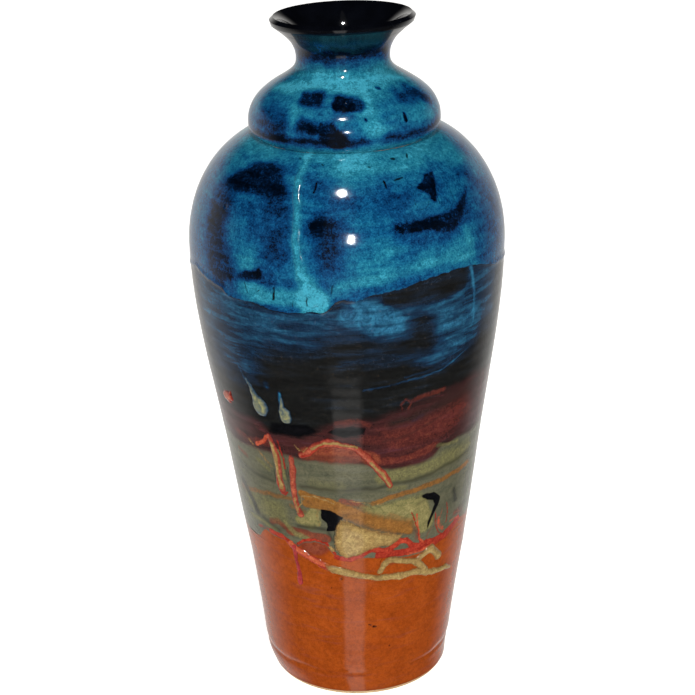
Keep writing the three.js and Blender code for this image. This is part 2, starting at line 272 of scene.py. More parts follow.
# %% [markdown]
# ## Turning
# A turned piece starts as a ring of points. They are moved onto the outline of its wall and spun round the
# axis, which is what the wheel does to the clay. A Screw modifier would do the same, but here the mesh is
# needed at once. A spin of many steps is slow, so it makes one narrow sector, and copies of it are turned
# round the axis, twice as many each time. The seams are then merged and the faces are turned outwards.

# %% Turning
def deselect():
    if bpy.context.object and bpy.context.object.mode != "OBJECT":
        bpy.ops.object.mode_set(mode="OBJECT")
    bpy.ops.object.select_all(action="DESELECT")


DOUBLINGS = 5
SECTOR = 2 * math.pi / 2 ** DOUBLINGS
SEAM = 0.01 * MM


def turned(name, outline, sector_steps):
    """Spins a closed outline, in millimetres from the axis and up, into a solid."""
    deselect()
    bpy.ops.mesh.primitive_circle_add(vertices=len(outline), radius=1, fill_type="NOTHING")
    piece = bpy.context.object
    piece.name = name
    put_points(piece, np.array([(radius, 0, height) for radius, height in outline]))
    bpy.ops.object.mode_set(mode="EDIT")
    bpy.ops.mesh.select_all(action="SELECT")
    bpy.ops.mesh.spin(steps=sector_steps, angle=SECTOR, center=(0, 0, 0), axis=(0, 0, 1))
    for doubling in range(DOUBLINGS):
        bpy.ops.mesh.select_all(action="SELECT")
        bpy.ops.mesh.duplicate()
        bpy.ops.transform.rotate(value=SECTOR * 2 ** doubling, orient_axis="Z", center_override=(0, 0, 0))
    bpy.ops.mesh.select_all(action="SELECT")
    bpy.ops.mesh.remove_doubles(threshold=SEAM)
    bpy.ops.mesh.delete_loose()
    bpy.ops.mesh.select_all(action="SELECT")
    bpy.ops.mesh.normals_make_consistent(inside=False)
    bpy.ops.object.mode_set(mode="OBJECT")
    bpy.ops.object.shade_smooth_by_angle(angle=math.radians(40))
    return piece


def points_of(piece):
    """The points of a mesh, in millimetres."""
    flat = np.empty(len(piece.data.vertices) * 3)
    piece.data.vertices.foreach_get("co", flat)
    return flat.reshape(-1, 3) / MM


def put_points(piece, points):
    piece.data.vertices.foreach_set("co", (points * MM).ravel())
    piece.data.update()


print("a turned piece has", 2 ** DOUBLINGS, "sectors of", math.degrees(SECTOR), "degrees")

# %% [markdown]
# ## The painting
# The glaze is brushed, trailed and poured on. A painted texture could hold that, but a list of strokes stays
# sharp at any size. A stroke is a few stops, each an angle from the front in degrees, positive to
# the right, and a height in millimetres. A pool is the same kind of list round its edge. Both turn into a
# distance, and the distance turns into how much of that glaze covers a point of the surface.

# %% Strokes and pools
FAR = 99.0
REACH = 14
NARROWEST_DEGREE = 0.45


def half_turned(angle):
    """The back of the vase repeats the front, half a turn away."""
    return np.where(angle > 90, angle - 180, np.where(angle < -90, angle + 180, angle))


def near(angle, height, stops):
    """Which points are close enough to the stops to be measured."""
    angles = [stop[0] for stop in stops]
    heights = [stop[1] for stop in stops]
    around = REACH / NARROWEST_DEGREE
    beside = (angle > min(angles) - around) & (angle < max(angles) + around)
    level = (height > min(heights) - REACH) & (height < max(heights) + REACH)
    return beside & level


def to_segment(angle, height, a, b):
    """Distance to the stretch from a to b, and how far along it the nearest point is."""
    per_degree = np.radians(radius_at(height))
    px, pz = (a[0] - angle) * per_degree, a[1] - height
    qx, qz = (b[0] - a[0]) * per_degree, b[1] - a[1]
    share = np.clip(-(px * qx + pz * qz) / (qx * qx + qz * qz + 1e-9), 0, 1)
    return np.hypot(px + share * qx, pz + share * qz), share


def stroke(angle, height, stops, width):
    """Distance outside a stroke. A third number in a stop is its width there."""
    out = np.full(len(angle), FAR)
    close = near(angle, height, stops)
    for a, b in zip(stops, stops[1:]):
        wide_a = a[2] if len(a) > 2 else width
        wide_b = b[2] if len(b) > 2 else width
        distance, share = to_segment(angle[close], height[close], a, b)
        out[close] = np.minimum(out[close], distance - (wide_a + (wide_b - wide_a) * share) / 2)
    return out


def pool(angle, height, stops):
    """Distance outside a pool, less than nothing inside it."""
    out = np.full(len(angle), FAR)
    close = near(angle, height, stops)
    inside = np.zeros(close.sum(), dtype=bool)
    distance = np.full(close.sum(), FAR)
    a_in, z_in = angle[close], height[close]
    for a, b in zip(stops, [*stops[1:], stops[0]]):
        distance = np.minimum(distance, to_segment(a_in, z_in, a, b)[0])
        crosses = (a[1] > z_in) != (b[1] > z_in)
        across = a[0] + (z_in - a[1]) / (b[1] - a[1] + 1e-9) * (b[0] - a[0])
        inside ^= crosses & (a_in < across)
    out[close] = np.where(inside, -distance, distance)
    return out


print("one degree at the belly is", round(math.radians(BELLY_R), 2), "mm wide")

# %% [markdown]
# The vase is dipped in bands, blue at the top and terracotta at the foot. Where two bands meet, the glaze
# has run, and the edge wanders up and down. Each edge is a list of stops from left to right across the
# front, and the height between two stops is interpolated.

# %% Edges of the bands
BLUE_EDGE = [
    (-90, 231), (-70, 238), (-60, 236), (-50, 234), (-47, 231.5), (-40, 231.5), (-35, 232.5),
    (-30, 230.5), (-26, 229.3), (-22, 229.2), (-18, 230), (-14, 230.8), (-10, 230), (-7, 232),
    (-5, 235.5), (-2, 236.8), (2, 236.3), (6, 238), (11, 239.5), (18, 240.2), (25, 242.3), (35, 244),
    (44, 243.8), (50, 242.5), (60, 238), (75, 234), (90, 231),
]
RED_EDGE = [
    (-90, 168), (-60, 165), (-40, 164), (-36, 160), (-20, 160), (-13, 166), (-6, 171), (0, 172), (8, 171),
    (15, 174), (25, 176), (35, 178.5), (45, 180), (55, 182), (70, 178), (90, 168),
]
SAGE_EDGE = [
    (-90, 148), (-60, 146), (-42, 147), (-30, 148), (-22, 147), (-10, 148), (0, 147), (7, 145), (10, 143),
    (15, 141), (22, 140), (30, 141), (36, 143), (40, 147), (50, 148), (60, 146), (90, 148),
]
TERRACOTTA_EDGE = [
    (-90, 93), (-70, 88), (-58, 90), (-50, 96.5), (-43, 95.5), (-37, 95), (-30, 92.5), (-26, 96.5),
    (-20, 98), (-15, 97), (-11, 91), (-3, 88), (2, 90), (8, 89), (20, 87), (30, 86), (40, 87), (50, 90),
    (60, 95), (75, 92), (90, 93),
]


def edge(stops, angle):
    return np.interp(angle, *np.array(stops).T)


lowest_blue = min(height for _, height in BLUE_EDGE)
print("the blue ends", lowest_blue, "mm up at its lowest")

# %% [markdown]
# The blue glaze goes from near black where it is thin to turquoise where it is thick, so one number, its
# shade, says all about it at a point. Strokes that lift the shade are positive, and strokes that darken it
# are negative. Each has its strength, its softness, its width and its stops.

# %% Blue glaze
BLUE_STROKES = [
    (0.5, 3.5, 2.2, [(-21.8, 296), (-20.5, 285), (-19.7, 278), (-18.8, 269), (-18, 258), (-16.5, 250, 5),
        (-13, 243, 8), (-12, 234, 14)]),
    (0.22, 4, 6, [(-80, 297), (-30, 298), (0, 297), (40, 297), (80, 296)]),
    (0.22, 5, 8, [(0, 293), (14, 292), (30, 291), (48, 292), (70, 288)]),
    (0.3, 2, 8, [(-46, 236), (-38, 237), (-30, 236), (-24, 236), (-17, 237), (-10, 236)]),
    (0.25, 3, 5, [(-5, 242), (8, 246), (22, 249), (36, 250), (46, 248)]),
    (0.18, 6, 14, [(0, 250), (15, 256), (30, 257), (44, 254)]),
    (0.2, 6, 10, [(-45, 264), (-42, 256), (-38, 252)]),
    (0.12, 5, 9, [(8, 276), (12, 266), (14, 258)]),
    (0.12, 5, 5, [(22, 275), (32, 274), (44, 279), (50, 284)]),
    (0.2, 2, 4, [(47, 262), (49, 252), (50, 240)]),
    (-0.32, 5, 16, [(-57, 278), (-56, 262), (-53, 248), (-46, 240)]),
    (-0.22, 5, 11, [(-30, 280), (-26, 268), (-25, 258), (-29, 246)]),
    (-0.3, 4, 12, [(-10, 270), (-7, 264), (-6, 256)]),
    (-0.12, 5, 7, [(-12, 286), (0, 280), (10, 279)]),
    (-0.22, 5, 6, [(10, 269), (24, 262), (38, 262), (50, 268)]),
    (-0.14, 4, 5, [(44, 291), (58, 285), (68, 276), (70, 262)]),
    (-0.2, 3, 4, [(-2, 271), (-12, 273)]),
]
COLLAR_STROKES = [
    (0.42, 2, 2.6, [(-70, 322), (-45, 325), (-30, 326), (-12, 325.5), (5, 325.5)]),
    (0.3, 3, 6, [(-30, 330), (0, 328), (20, 327), (45, 327), (80, 325)]),
    (0.3, 3, 9, [(13, 323), (15, 314), (18, 306)]),
    (0.16, 4, 9, [(26, 318), (45, 312), (62, 310)]),
    (0.16, 3, 5, [(-38, 318), (-25, 316), (-12, 315)]),
    (0.14, 3, 5, [(-34, 318), (-33, 308), (-32, 302)]),
    (-0.5, 1.8, 5, [(-32, 321.5), (-20, 321)]),
    (-0.62, 1.2, 5.5, [(-5, 320), (10, 319)]),
    (-0.45, 2, 5, [(-27, 311), (-18, 310)]),
    (-0.55, 2, 8, [(-10, 309), (-4, 305)]),
    (-0.3, 4, 12, [(-56, 311), (-44, 310)]),
    (-0.3, 2.5, 4, [(45, 320), (53, 319)]),
    (-0.4, 2.5, 6, [(60, 321), (70, 315)]),
    # Painted shade: a dark ring along the crease, where the collar bulges out over it.
    (-0.3, 2, 2.5, [(-70, 302), (-30, 304), (0, 303), (40, 304), (75, 304)]),
    (-0.3, 4, 8, [(-60, 340), (-20, 339), (15, 343), (60, 339)]),
    (0.1, 2, 3, [(-4, 337), (8, 337)]),
    (-0.35, 3, 6, [(-90, 349), (0, 350), (90, 349)]),
    (-0.8, 0.5, 2, [(39.5, 313), (40, 310.5)]),
    (-0.7, 0.4, 1.2, [(12.3, 313.6), (13, 313)]),
    (-0.6, 0.5, 1.2, [(30.5, 324.2), (33.5, 324)]),
    (-0.5, 0.5, 1.2, [(-14.6, 312.6), (-14.4, 311.5)]),
]
print(len(BLUE_STROKES) + len(COLLAR_STROKES), "strokes of blue")

# %% [markdown]
# Below its edge the blue has run down over the near-black night glaze as a thin haze, thickest in one cloud
# near the middle. Each patch has its strength, its softness and its outline. Later patches clear the haze
# away again, the largest of them a wedge that stays black.

# %% Haze
WEDGE = [
    (11, 238.7), (18, 239.6), (25, 241.8), (35, 243.4), (44, 243.2), (46, 240), (46, 235.5), (44, 232),
    (36, 231), (25, 230.8), (17, 231), (12, 233.5),
]
HAZE_POOLS = [
    (0.85, 10, [(-6, 228), (-3, 236), (4, 238), (12, 236.5), (18, 232), (21, 224), (20, 217), (14, 214),
        (8, 215), (1, 220), (-6, 222)]),
    (0.62, 24, [(-72, 238), (-30, 236), (20, 240), (70, 244), (70, 206), (44, 205), (24, 212), (0, 216),
        (-16, 213), (-34, 206), (-70, 198)]),
    (0.7, 18, [(22, 231), (34, 230), (46, 230), (56, 234), (60, 214), (54, 200), (42, 196), (30, 195),
        (24, 199)]),
    (0.52, 20, [(-66, 230), (-50, 228), (-38, 224), (-34, 204), (-38, 188), (-55, 184), (-68, 190)]),
    (0.58, 16, [(-36, 231), (-12, 230), (-6, 220), (-12, 209), (-22, 206), (-34, 210)]),
    (0.36, 12, [(-6, 209), (12, 209), (40, 208), (42, 200), (14, 200), (-4, 202)]),
]
HAZE_STROKES = [
    (0.75, 1.6, 1, [(4, 188.6), (14, 189.8), (24, 191), (34, 192.5), (44, 196), (52, 201)]),
    (0.6, 1.6, 0.8, [(20, 192.8), (28, 194), (36, 196)]),
    (0.95, 3, 3, [(47.5, 243), (49.5, 234), (50, 224), (50.5, 214)]),
    (0.55, 5, 5, [(-43, 197), (-42.5, 194)]),
    (0.55, 3, 3, [(-34, 188), (-33.6, 186)]),
    (0.5, 6, 6, [(-39, 208), (-38, 204)]),
    (0.8, 1.5, 1.2, [(-46.5, 194), (-45, 190), (-43.5, 186)]),
    (0.95, 1.5, 2, [(-28.6, 184), (-28.4, 179), (-28, 175.5)]),
    (0.5, 4, 3, [(-64, 200), (-60, 186)]),
    (0.6, 4, 5, [(-20, 226), (-20, 214)]),
    (0.4, 3, 2, [(24, 168), (28, 168.6)]),
]
CLEAR_POOLS = [
    (9, [(22, 224), (27, 225), (31, 219), (32, 209), (30, 204), (26, 205), (22, 211)]),
    (3, WEDGE),
]
print(len(HAZE_POOLS) + len(HAZE_STROKES), "patches of haze")

# %% [markdown]
# The dark marks in the blue are thick pools of a glaze rich in iron. They were dropped on while the coat was
# wet, so they have soft edges and sink to navy. Each has its softness and its outline, and it takes the
# shade of the blue down rather than covering it.

# %% Navy pools
NAVY_POOLS = [
    (4.5, [(-60, 283), (-56, 288), (-48, 292), (-38, 293.5), (-31, 291.5), (-27, 286), (-25.5, 282),
        (-35, 281.5), (-46, 281), (-55, 281)]),
    (2.0, [(-42, 243), (-38, 247), (-31, 250), (-30, 246), (-33, 243.5), (-38, 242)]),
    (2.6, [(17, 270), (30, 270.6), (41, 271), (48, 273.5), (56, 277.5), (52, 273), (47, 267), (43, 263.5),
        (39, 262), (30, 265.5), (18, 266.5)]),
    (1.0, [(30.5, 283.5), (33.5, 285.5), (37, 288), (42, 288), (41.5, 285.5), (39, 282), (38.3, 278.5),
        (36.5, 276), (35, 277), (34.5, 280), (32.5, 281.5)]),
    (1.6, WEDGE),
]
print(len(NAVY_POOLS), "navy pools")

# %% [markdown]
# On the darker bands the same glaze looks like ink, and round the thick runs it leaves a fine dark line.
# Both are laid over the other glazes, so they are kept apart from the navy, which only sinks the blue.

# %% Ink
INK_POOLS = [
    (5, [(-34, 166), (-18, 168), (-14, 165), (-21, 160), (-36, 160)]),
    (3, [(-10, 164), (-7, 167), (0, 168.5), (5, 166), (4, 163), (-4, 162)]),
    (0.8, [(-16, 118.8), (-11, 118.6), (-5.2, 114.2), (-7.2, 112.5), (-8.6, 109), (-10.2, 106),
        (-13.6, 105.5), (-13, 110), (-15.6, 113)]),
    (1.2, [(31, 121.5), (34, 122.2), (38, 121), (42.5, 116.5), (42, 112), (38.5, 107), (36.2, 99),
        (35.8, 104), (38, 110), (39.4, 114), (38.6, 116.5), (35, 118), (32, 119.5)]),
]
INK_STROKES = [
    (0.25, 0.9, [(-38.8, 241), (-38, 239), (-37, 236)]),
    (0.3, 1.6, [(-26.2, 241), (-26.8, 235)]),
    (0.25, 0.9, [(-14, 238), (-14.4, 233.5)]),
    (0.3, 1.1, [(-5, 244), (-6.2, 240)]),
    (0.25, 0.7, [(-32, 239), (-33, 237)]),
    (0.25, 0.6, [(-19, 236), (-19.4, 233)]),
    (0.25, 1.3, [(-13, 288), (-13.6, 284.5)]),
    (0.25, 1.4, [(16.8, 287.5), (17.5, 285.5)]),
    (0.25, 1.2, [(22, 287.6), (25.5, 288.2)]),
    (0.2, 0.8, [(-26.5, 296.2), (-25.5, 296)]),
    (0.2, 0.9, [(24.5, 295.2), (26.5, 295)]),
    (0.2, 0.8, [(34, 294.8), (36, 295.6)]),
    (0.2, 0.8, [(11.5, 293.3), (12.3, 293.2)]),
    (0.2, 0.8, [(-12, 295), (-11, 294.7)]),
    (0.25, 0.5, [(30.5, 283.5), (28, 281.5), (27.4, 277.5), (29, 274.8), (31.5, 274.4), (33.5, 276.5),
        (34.5, 280)]),
    (0.25, 0.5, [(38.4, 279), (38, 275), (40, 272.2), (43, 272.5), (45.5, 275.5), (46.5, 281),
        (45, 285)]),
    (0.3, 0.7, [(-50, 233.2), (-44, 231.3), (-38, 231.2), (-33, 232), (-28, 229.6), (-22, 228.9),
        (-16, 230), (-11, 229.8), (-8, 230.8), (-5.5, 234.2), (-3, 236)]),
    (0.25, 0.5, [(-31.5, 131), (-31, 126.5)]),
    (0.25, 0.5, [(-28.8, 150), (-29.4, 139), (-29.2, 128)]),
    (0.3, 0.6, [(-36.2, 146), (-37, 139), (-36.8, 131), (-35.2, 124.5)]),
    (0.3, 0.6, [(-9.8, 110), (-10.4, 100), (-9.8, 93), (-7, 90.2), (-3, 89.8)]),
    (0.3, 0.5, [(-28.5, 113.5), (-26, 112), (-24.5, 114), (-23, 112.5)]),
    (0.25, 0.5, [(6.6, 149), (9, 144), (12, 139)]),
    (0.3, 0.6, [(18.5, 138), (20, 134.5)]),
    (0.35, 0.6, [(12, 88), (10.6, 84)]),
    (0.3, 0.6, [(44, 92.5), (46.5, 91.6), (49, 92.8)]),
    (0.4, 1.0, [(-8.6, 76.8), (-8.2, 76)]),
    (0.4, 0.8, [(-14.2, 70.5), (-14.6, 69.6)]),
    (0.5, 1.2, [(5.8, 46.8), (6.6, 46.2)]),
    (0.5, 1.6, [(8, 45.2), (9, 45)]),
    (0.4, 0.8, [(18.4, 32), (18.8, 31.5)]),
]
print(len(INK_POOLS), "pools and", len(INK_STROKES), "strokes of ink")

# %% [markdown]
# Smoke is the soft grey that the kiln's flame leaves where the coat is thin, mostly at the borders of the
# lower bands. It is laid as wide, weak strokes, which is how a stain is built up in paint.

# %% Smoke
SMOKE = [
    (0.75, 6, 2, [(-24, 131), (-6, 130.6), (8, 131), (18, 133), (30, 132.5), (44, 134), (62, 135)]),
    (0.75, 5, 5, [(-63, 120), (-57, 113), (-54, 106)]),
    (0.6, 5, 3, [(-50, 104), (-40, 100)]),
    (0.7, 5, 3, [(52, 117), (54.5, 109)]),
    (0.7, 4, 2, [(-28, 106), (-22, 107), (-13, 106), (-11, 100)]),
    (0.55, 6, 3, [(-60, 150), (-48, 149), (-36, 150)]),
    (0.7, 4, 1.5, [(36, 147), (44, 150), (50, 152)]),
    (0.5, 4, 2, [(30, 117), (34, 119), (40, 116), (40, 110)]),
    (0.6, 3, 1.6, [(-31, 152), (-30.5, 140), (-30, 129)]),
    (0.5, 5, 3, [(-62, 133), (-50, 131), (-38, 130)]),
    (0.5, 5, 3, [(-24, 149), (-14, 150), (-4, 150), (4, 147)]),
    (0.45, 5, 2, [(-40, 101), (-32, 104), (-24, 105)]),
    (0.4, 6, 3, [(-90, 96), (-70, 95)]),
    (0.4, 6, 3, [(70, 112), (90, 110)]),
    (0.35, 3, 1.5, [(-80, 3), (0, 3), (80, 3)]),
    (0.6, 3, 1, [(12, 158), (26, 161), (40, 167), (56, 172)]),
    (0.6, 10, 7, [(16, 168), (30, 171), (44, 174), (60, 176)]),
    (0.5, 6, 4, [(-60, 160), (-46, 160), (-40, 156)]),
    (0.35, 8, 6, [(-90, 158), (-75, 156)]),
    (0.35, 8, 6, [(75, 160), (90, 158)]),
]
print(len(SMOKE), "strokes of smoke")

# %% [markdown]
# The potter trails thick glaze from a bulb: cream lines over the terracotta, ember runs down the middle, and
# drips below the night band. Each has its width, its rise above the coat and its stops. They are lists of
# their own, because they are painted and also modelled.

# %% Runs, trails and drips
CREAM_POOL = [
    (-9.5, 108), (-7, 113), (-4, 112.5), (0, 110), (6, 106.5), (12, 104), (18, 102), (22, 100),
    (20, 97.5), (15.5, 95), (10, 95.5), (4.5, 93.5), (0, 91), (-4, 90), (-8, 91.5), (-10, 97),
]
TRAILS = {
    "long_trail": (4.0, 1.0, [(-37, 96, 2), (-33, 93.5), (-28, 90), (-22, 86.8), (-17, 84.3),
        (-12, 82, 4.6), (-6, 80.5), (0, 78.8, 3.4), (8, 76.6, 3), (14, 75.6), (22, 75.2), (29, 75.4),
        (33.5, 74.3), (38, 71.8), (44, 70.5), (52, 69, 3), (58, 66.8, 2)]),
    "forked_trail": (3.4, 1.0, [(11, 80, 3), (12.3, 83.3, 3), (14.5, 86), (18, 86.2), (22.5, 84.6),
        (27, 83), (30.5, 81.5, 4.5), (34, 78), (37, 74, 4)]),
    "hooked_trail": (3.8, 1.0, [(31, 82), (34, 84), (39, 86.5, 4.6), (42, 84.5), (44, 81.5),
        (45.5, 79.5, 4.6)]),
}
EMBERS = {
    "left_ember_run": (4.0, 0.8, [(-36.5, 157.5, 2.5), (-34.6, 150), (-33.8, 143), (-34.5, 136),
        (-34.8, 130), (-33.5, 125.5)]),
    "middle_ember_run": (3.4, 0.8, [(-27, 147, 2.6), (-27.3, 140), (-27.8, 133), (-28, 126), (-27.2, 119),
        (-25.8, 113.5)]),
    "ember_arc": (3.6, 0.8, [(-22, 150), (-18.5, 152.5), (-15, 156.5), (-11, 158.5, 4.4), (-6, 158),
        (-1, 156.2), (3, 153), (6, 149), (8.5, 144.5), (11.5, 139.5, 4), (14, 135.5), (15.5, 131.5, 3)]),
}
STRAW_DRIPS = {
    "left_straw_drip": (5.5, 0.9, [(-43.5, 188.5, 1.2), (-42, 184, 1.6), (-40.2, 180, 3.4),
        (-38.6, 176, 8.4), (-38, 173.5, 9)]),
    "right_straw_drip": (4.4, 0.9, [(-28, 182, 1.2), (-27.8, 177, 2.6), (-27.1, 173.3, 6.2),
        (-26.7, 171, 7.2)]),
}
EMBER_POOL = [
    (-55.5, 176), (-60, 174), (-63.5, 171), (-62, 168), (-58, 167.5), (-55, 170),
]
CRIMSON_DRIP = (2.2, 0.7, [
    (-32, 93, 3), (-31.6, 85), (-31.5, 78, 2), (-31.5, 72.5, 3.4), (-31.4, 70.5, 3.2),
])
TURQUOISE_RUN = (4.2, 0.7, [
    (-21.5, 291.5, 3.4), (-20.5, 285), (-19.7, 278), (-18.8, 270), (-18, 262), (-17.3, 255, 4.6),
    (-15.6, 247, 6), (-13.5, 241, 7), (-12.3, 236.5, 7),
])
print(len(TRAILS), "trails,", len(EMBERS), "ember runs and", len(STRAW_DRIPS), "straw drips")

# %% [markdown]
# Between the night and the terracotta lies the sunset band. Its ground is sage, and rust, olive and ochre
# are brushed over it in long level strokes while the vase turns. A wash is a wide pool of the same glaze.

# %% Rust, olive and ochre
RUST = [
    (0.8, 2.5, 8, [(-20, 151), (-10, 153), (2, 152), (8, 148)]),
    (0.55, 2, 5, [(8, 147), (18, 146), (28, 147), (36, 149)]),
    (0.35, 3, 6, [(4, 160), (16, 158), (30, 160), (46, 158)]),
    (0.4, 2, 3, [(-6, 170.5), (2, 171.5), (6, 168)]),
    (0.45, 1, 1.2, [(19.6, 175), (19, 178), (21, 181), (23, 178), (22, 175)]),
    (0.5, 2, 3, [(24, 179), (32, 180.5), (38, 181)]),
    (0.5, 2.5, 5, [(-58, 152), (-48, 150), (-38, 153)]),
    (0.7, 2, 4, [(-44, 104), (-40, 106), (-36, 103.5)]),
    (0.75, 1.5, 5, [(-33, 102), (-24, 102.5), (-14, 101)]),
    (0.5, 2, 4, [(27, 113), (29, 104), (30.5, 97)]),
    (0.7, 1.2, 3.4, [(-6, 124.5), (1, 122.5), (7, 118), (13, 112.5), (20, 110), (26, 108)]),
    (0.5, 2.5, 3, [(-60, 141), (-54, 139)]),
    (0.6, 3, 4, [(56, 100), (64, 99)]),
]
OLIVE = [
    (0.9, 3, 12, [(12, 114), (20, 116), (30, 115), (34, 104)]),
    (0.6, 3, 8, [(12, 137), (26, 137), (44, 138), (60, 137)]),
    (0.4, 4, 8, [(-60, 112), (-46, 113), (-36, 112)]),
    (0.9, 1.5, 5, [(-27, 110.5), (-23, 111.5), (-19, 117), (-18.5, 110)]),
    (0.7, 1.5, 3, [(-36, 107), (-30, 101), (-24, 100)]),
    (0.6, 1.5, 2, [(38, 148), (44, 147), (50, 146)]),
    (0.35, 4, 7, [(-18, 134), (-6, 132)]),
    (0.5, 2, 4, [(15, 130), (22, 129)]),
    (0.5, 2, 3, [(-46, 141), (-40, 137)]),
    (0.6, 2, 3, [(-62, 101), (-50, 101), (-42, 100)]),
    (0.7, 0.8, 2.2, [(-33, 150), (-31.8, 142), (-31.6, 134)]),
]
OCHRE = [
    (0.95, 1, 4.5, [(-24, 126.5), (-12, 124), (-4, 119.5), (4, 114), (11, 110), (18, 106), (25, 102)]),
    (0.8, 1.5, 5, [(-22, 121.5), (-12, 121), (-6, 117)]),
    (0.75, 1.5, 3.2, [(8, 122.5), (15, 124.3), (26, 125.6), (40, 126.8), (64, 127)]),
    (0.6, 2, 3, [(-66, 116), (-54, 119), (-42, 121.5), (-30, 122)]),
    (0.5, 2, 7, [(16, 112), (24, 107)]),
    (0.5, 1.5, 3, [(-30, 117.5), (-24, 116)]),
]
WASHES = {
    "olive": [
        (0.95, 9, [(2, 121), (15, 122), (30, 122.5), (35, 117), (33, 106), (24, 104), (14, 110),
            (4, 116)]),
        (0.6, 8, [(10, 140), (24, 139), (42, 144), (62, 143), (62, 134), (30, 132), (14, 133)]),
        (0.8, 5, [(-28, 112), (-24, 116), (-19, 119), (-16, 119), (-17, 109), (-21, 106), (-27, 107)]),
        (0.55, 9, [(-64, 119), (-46, 120), (-34, 119), (-32, 106), (-46, 104), (-62, 106)]),
    ],
    "ochre": [
        (0.85, 7, [(-24, 127), (-12, 125), (-2, 122), (8, 116), (20, 111), (28, 108), (27, 100),
            (18, 101), (8, 106), (0, 110), (-8, 115), (-20, 120)]),
    ],
    "rust": [
        (0.9, 6, [(-20, 152), (-14, 155), (-8, 156), (0, 154), (6, 150), (8, 146), (0, 147), (-10, 147),
            (-18, 149)]),
        (0.45, 12, [(8, 166), (30, 170), (52, 176), (60, 160), (40, 152), (14, 150)]),
        (0.85, 5, [(-30, 95), (-24, 98), (-16, 98), (-12, 94), (-18, 90), (-26, 90)]),
    ],
}
print(len(RUST) + len(OLIVE) + len(OCHRE), "strokes of rust, olive and ochre")

# %% [markdown]
# Scarlet, coral and cream are the last and thinnest lines. They follow the borders of the bands and the
# spines of the ember runs, where the glazes have mixed.

# %% Scarlet, coral and cream
SCARLET = [
    (0.9, 0.5, 1.6, [(-29.5, 95), (-26, 98.3), (-20, 99.6), (-15, 98.4), (-12.3, 95.5), (-10.5, 92)]),
    (0.9, 0.8, 2.6, [(-46, 97.5), (-38, 96.6), (-33, 94), (-30, 92)]),
    (0.9, 0.6, 3, [(-10, 89.6), (-3, 88.6), (2, 91), (6, 94), (10, 93.4), (14, 92.6), (18, 94.5),
        (21, 97), (24, 96.5), (27, 93), (31, 91.5), (38, 91.5), (46, 91)]),
    (0.8, 1.2, 4.5, [(10, 90), (18, 90), (26, 89.5), (34, 89.5), (42, 89.5), (50, 91), (60, 95)]),
    (0.85, 0.4, 1, [(-34.9, 140), (-35.4, 132), (-34.4, 125.3), (-32.4, 123.6), (-31.2, 126)]),
    (0.7, 0.5, 1.2, [(26.5, 113), (29, 105), (30.6, 98), (33, 92.5)]),
    (0.7, 0.5, 1, [(40.5, 108), (41, 100), (44, 94.5), (47, 92)]),
    (0.75, 0.5, 1.3, [(-44, 150.4), (-40, 152.6), (-37.5, 155.8)]),
    (0.7, 0.5, 1.2, [(-32.5, 156), (-31, 148), (-30.6, 140)]),
    (0.8, 0.5, 1.4, [(-22, 149.6), (-18, 151), (-15.4, 154.5), (-12, 157)]),
    (0.5, 1, 2, [(-55, 96.5), (-48, 98)]),
    (0.6, 0.6, 1.2, [(47.5, 111), (49, 104), (48.5, 98)]),
    (0.5, 0.6, 1, [(35, 92), (36, 96), (39, 99)]),
]
CORAL = [
    (0.8, 0.8, 2.6, [(-34, 95), (-28, 90.6), (-22, 87.4), (-17, 85)]),
    (0.6, 0.8, 2, [(26, 88), (32, 87.5), (40, 89)]),
    (0.5, 1, 3, [(42, 104), (44, 98), (47, 95)]),
    (0.5, 1, 2, [(52, 97), (60, 96)]),
    (0.6, 0.8, 2.6, [(-44.5, 150), (-41, 152.5), (-38, 156.5)]),
    (0.7, 0.7, 1.2, [(29.5, 111), (30, 103), (31.5, 96), (34, 92)]),
    (0.5, 0.7, 1, [(45, 109), (43.5, 103), (44.5, 98)]),
]
CREAM = [
    (0.85, 1.2, 1.6, [(7, 147), (10, 142), (13, 137), (15.2, 132)]),
    (0.9, 1.4, 2.2, [(-35.6, 154), (-34.2, 147), (-34.8, 137), (-34, 128)]),
    (0.8, 1.2, 1.5, [(-17, 154.5), (-12, 158.6), (-6, 158.8), (1, 156.2)]),
    (0.6, 1, 1, [(-19, 154.6), (-21.5, 152), (-23, 153)]),
    (0.6, 1.2, 1.6, [(-27.6, 124), (-26.6, 115)]),
    (0.5, 2, 2.4, [(-50, 151), (-44, 146), (-38, 139)]),
    (0.5, 1, 1, [(-60, 173), (-58, 170)]),
    (0.8, 0.3, 0.9, [(-24.5, 125), (-18, 126.3), (-12, 124.6), (-9.5, 122.6)]),
    (0.6, 0.4, 0.9, [(-3, 124.2), (3, 123.6), (10, 121.4), (14, 120.8)]),
    (0.85, 0.3, 1.8, [(-12.6, 96), (-11, 93.5)]),
    (0.6, 0.4, 1.2, [(-24.5, 155), (-23, 152.5)]),
    (0.7, 0.4, 0.9, [(-26, 118.5), (-24, 121.5), (-25, 125)]),
    (0.5, 0.6, 1.4, [(-17.5, 119), (-18, 114), (-17.5, 108)]),
    (0.4, 0.5, 1, [(-54, 88.5), (-50, 91)]),
]
print(len(SCARLET) + len(CORAL) + len(CREAM), "strokes of scarlet, coral and cream")

# %% [markdown]
# Glaze never stops at a ruled line. The places are shifted a little by smooth noise before any distance is
# measured, so every edge wavers. The back repeats the front half a turn away, and it gets a larger shift
# of its own, so that the two sides aren't twins.

# %% Where a point lies in the painting
BACK_SHIFT_DEGREES = 13
BACK_SHIFT_MM = 6


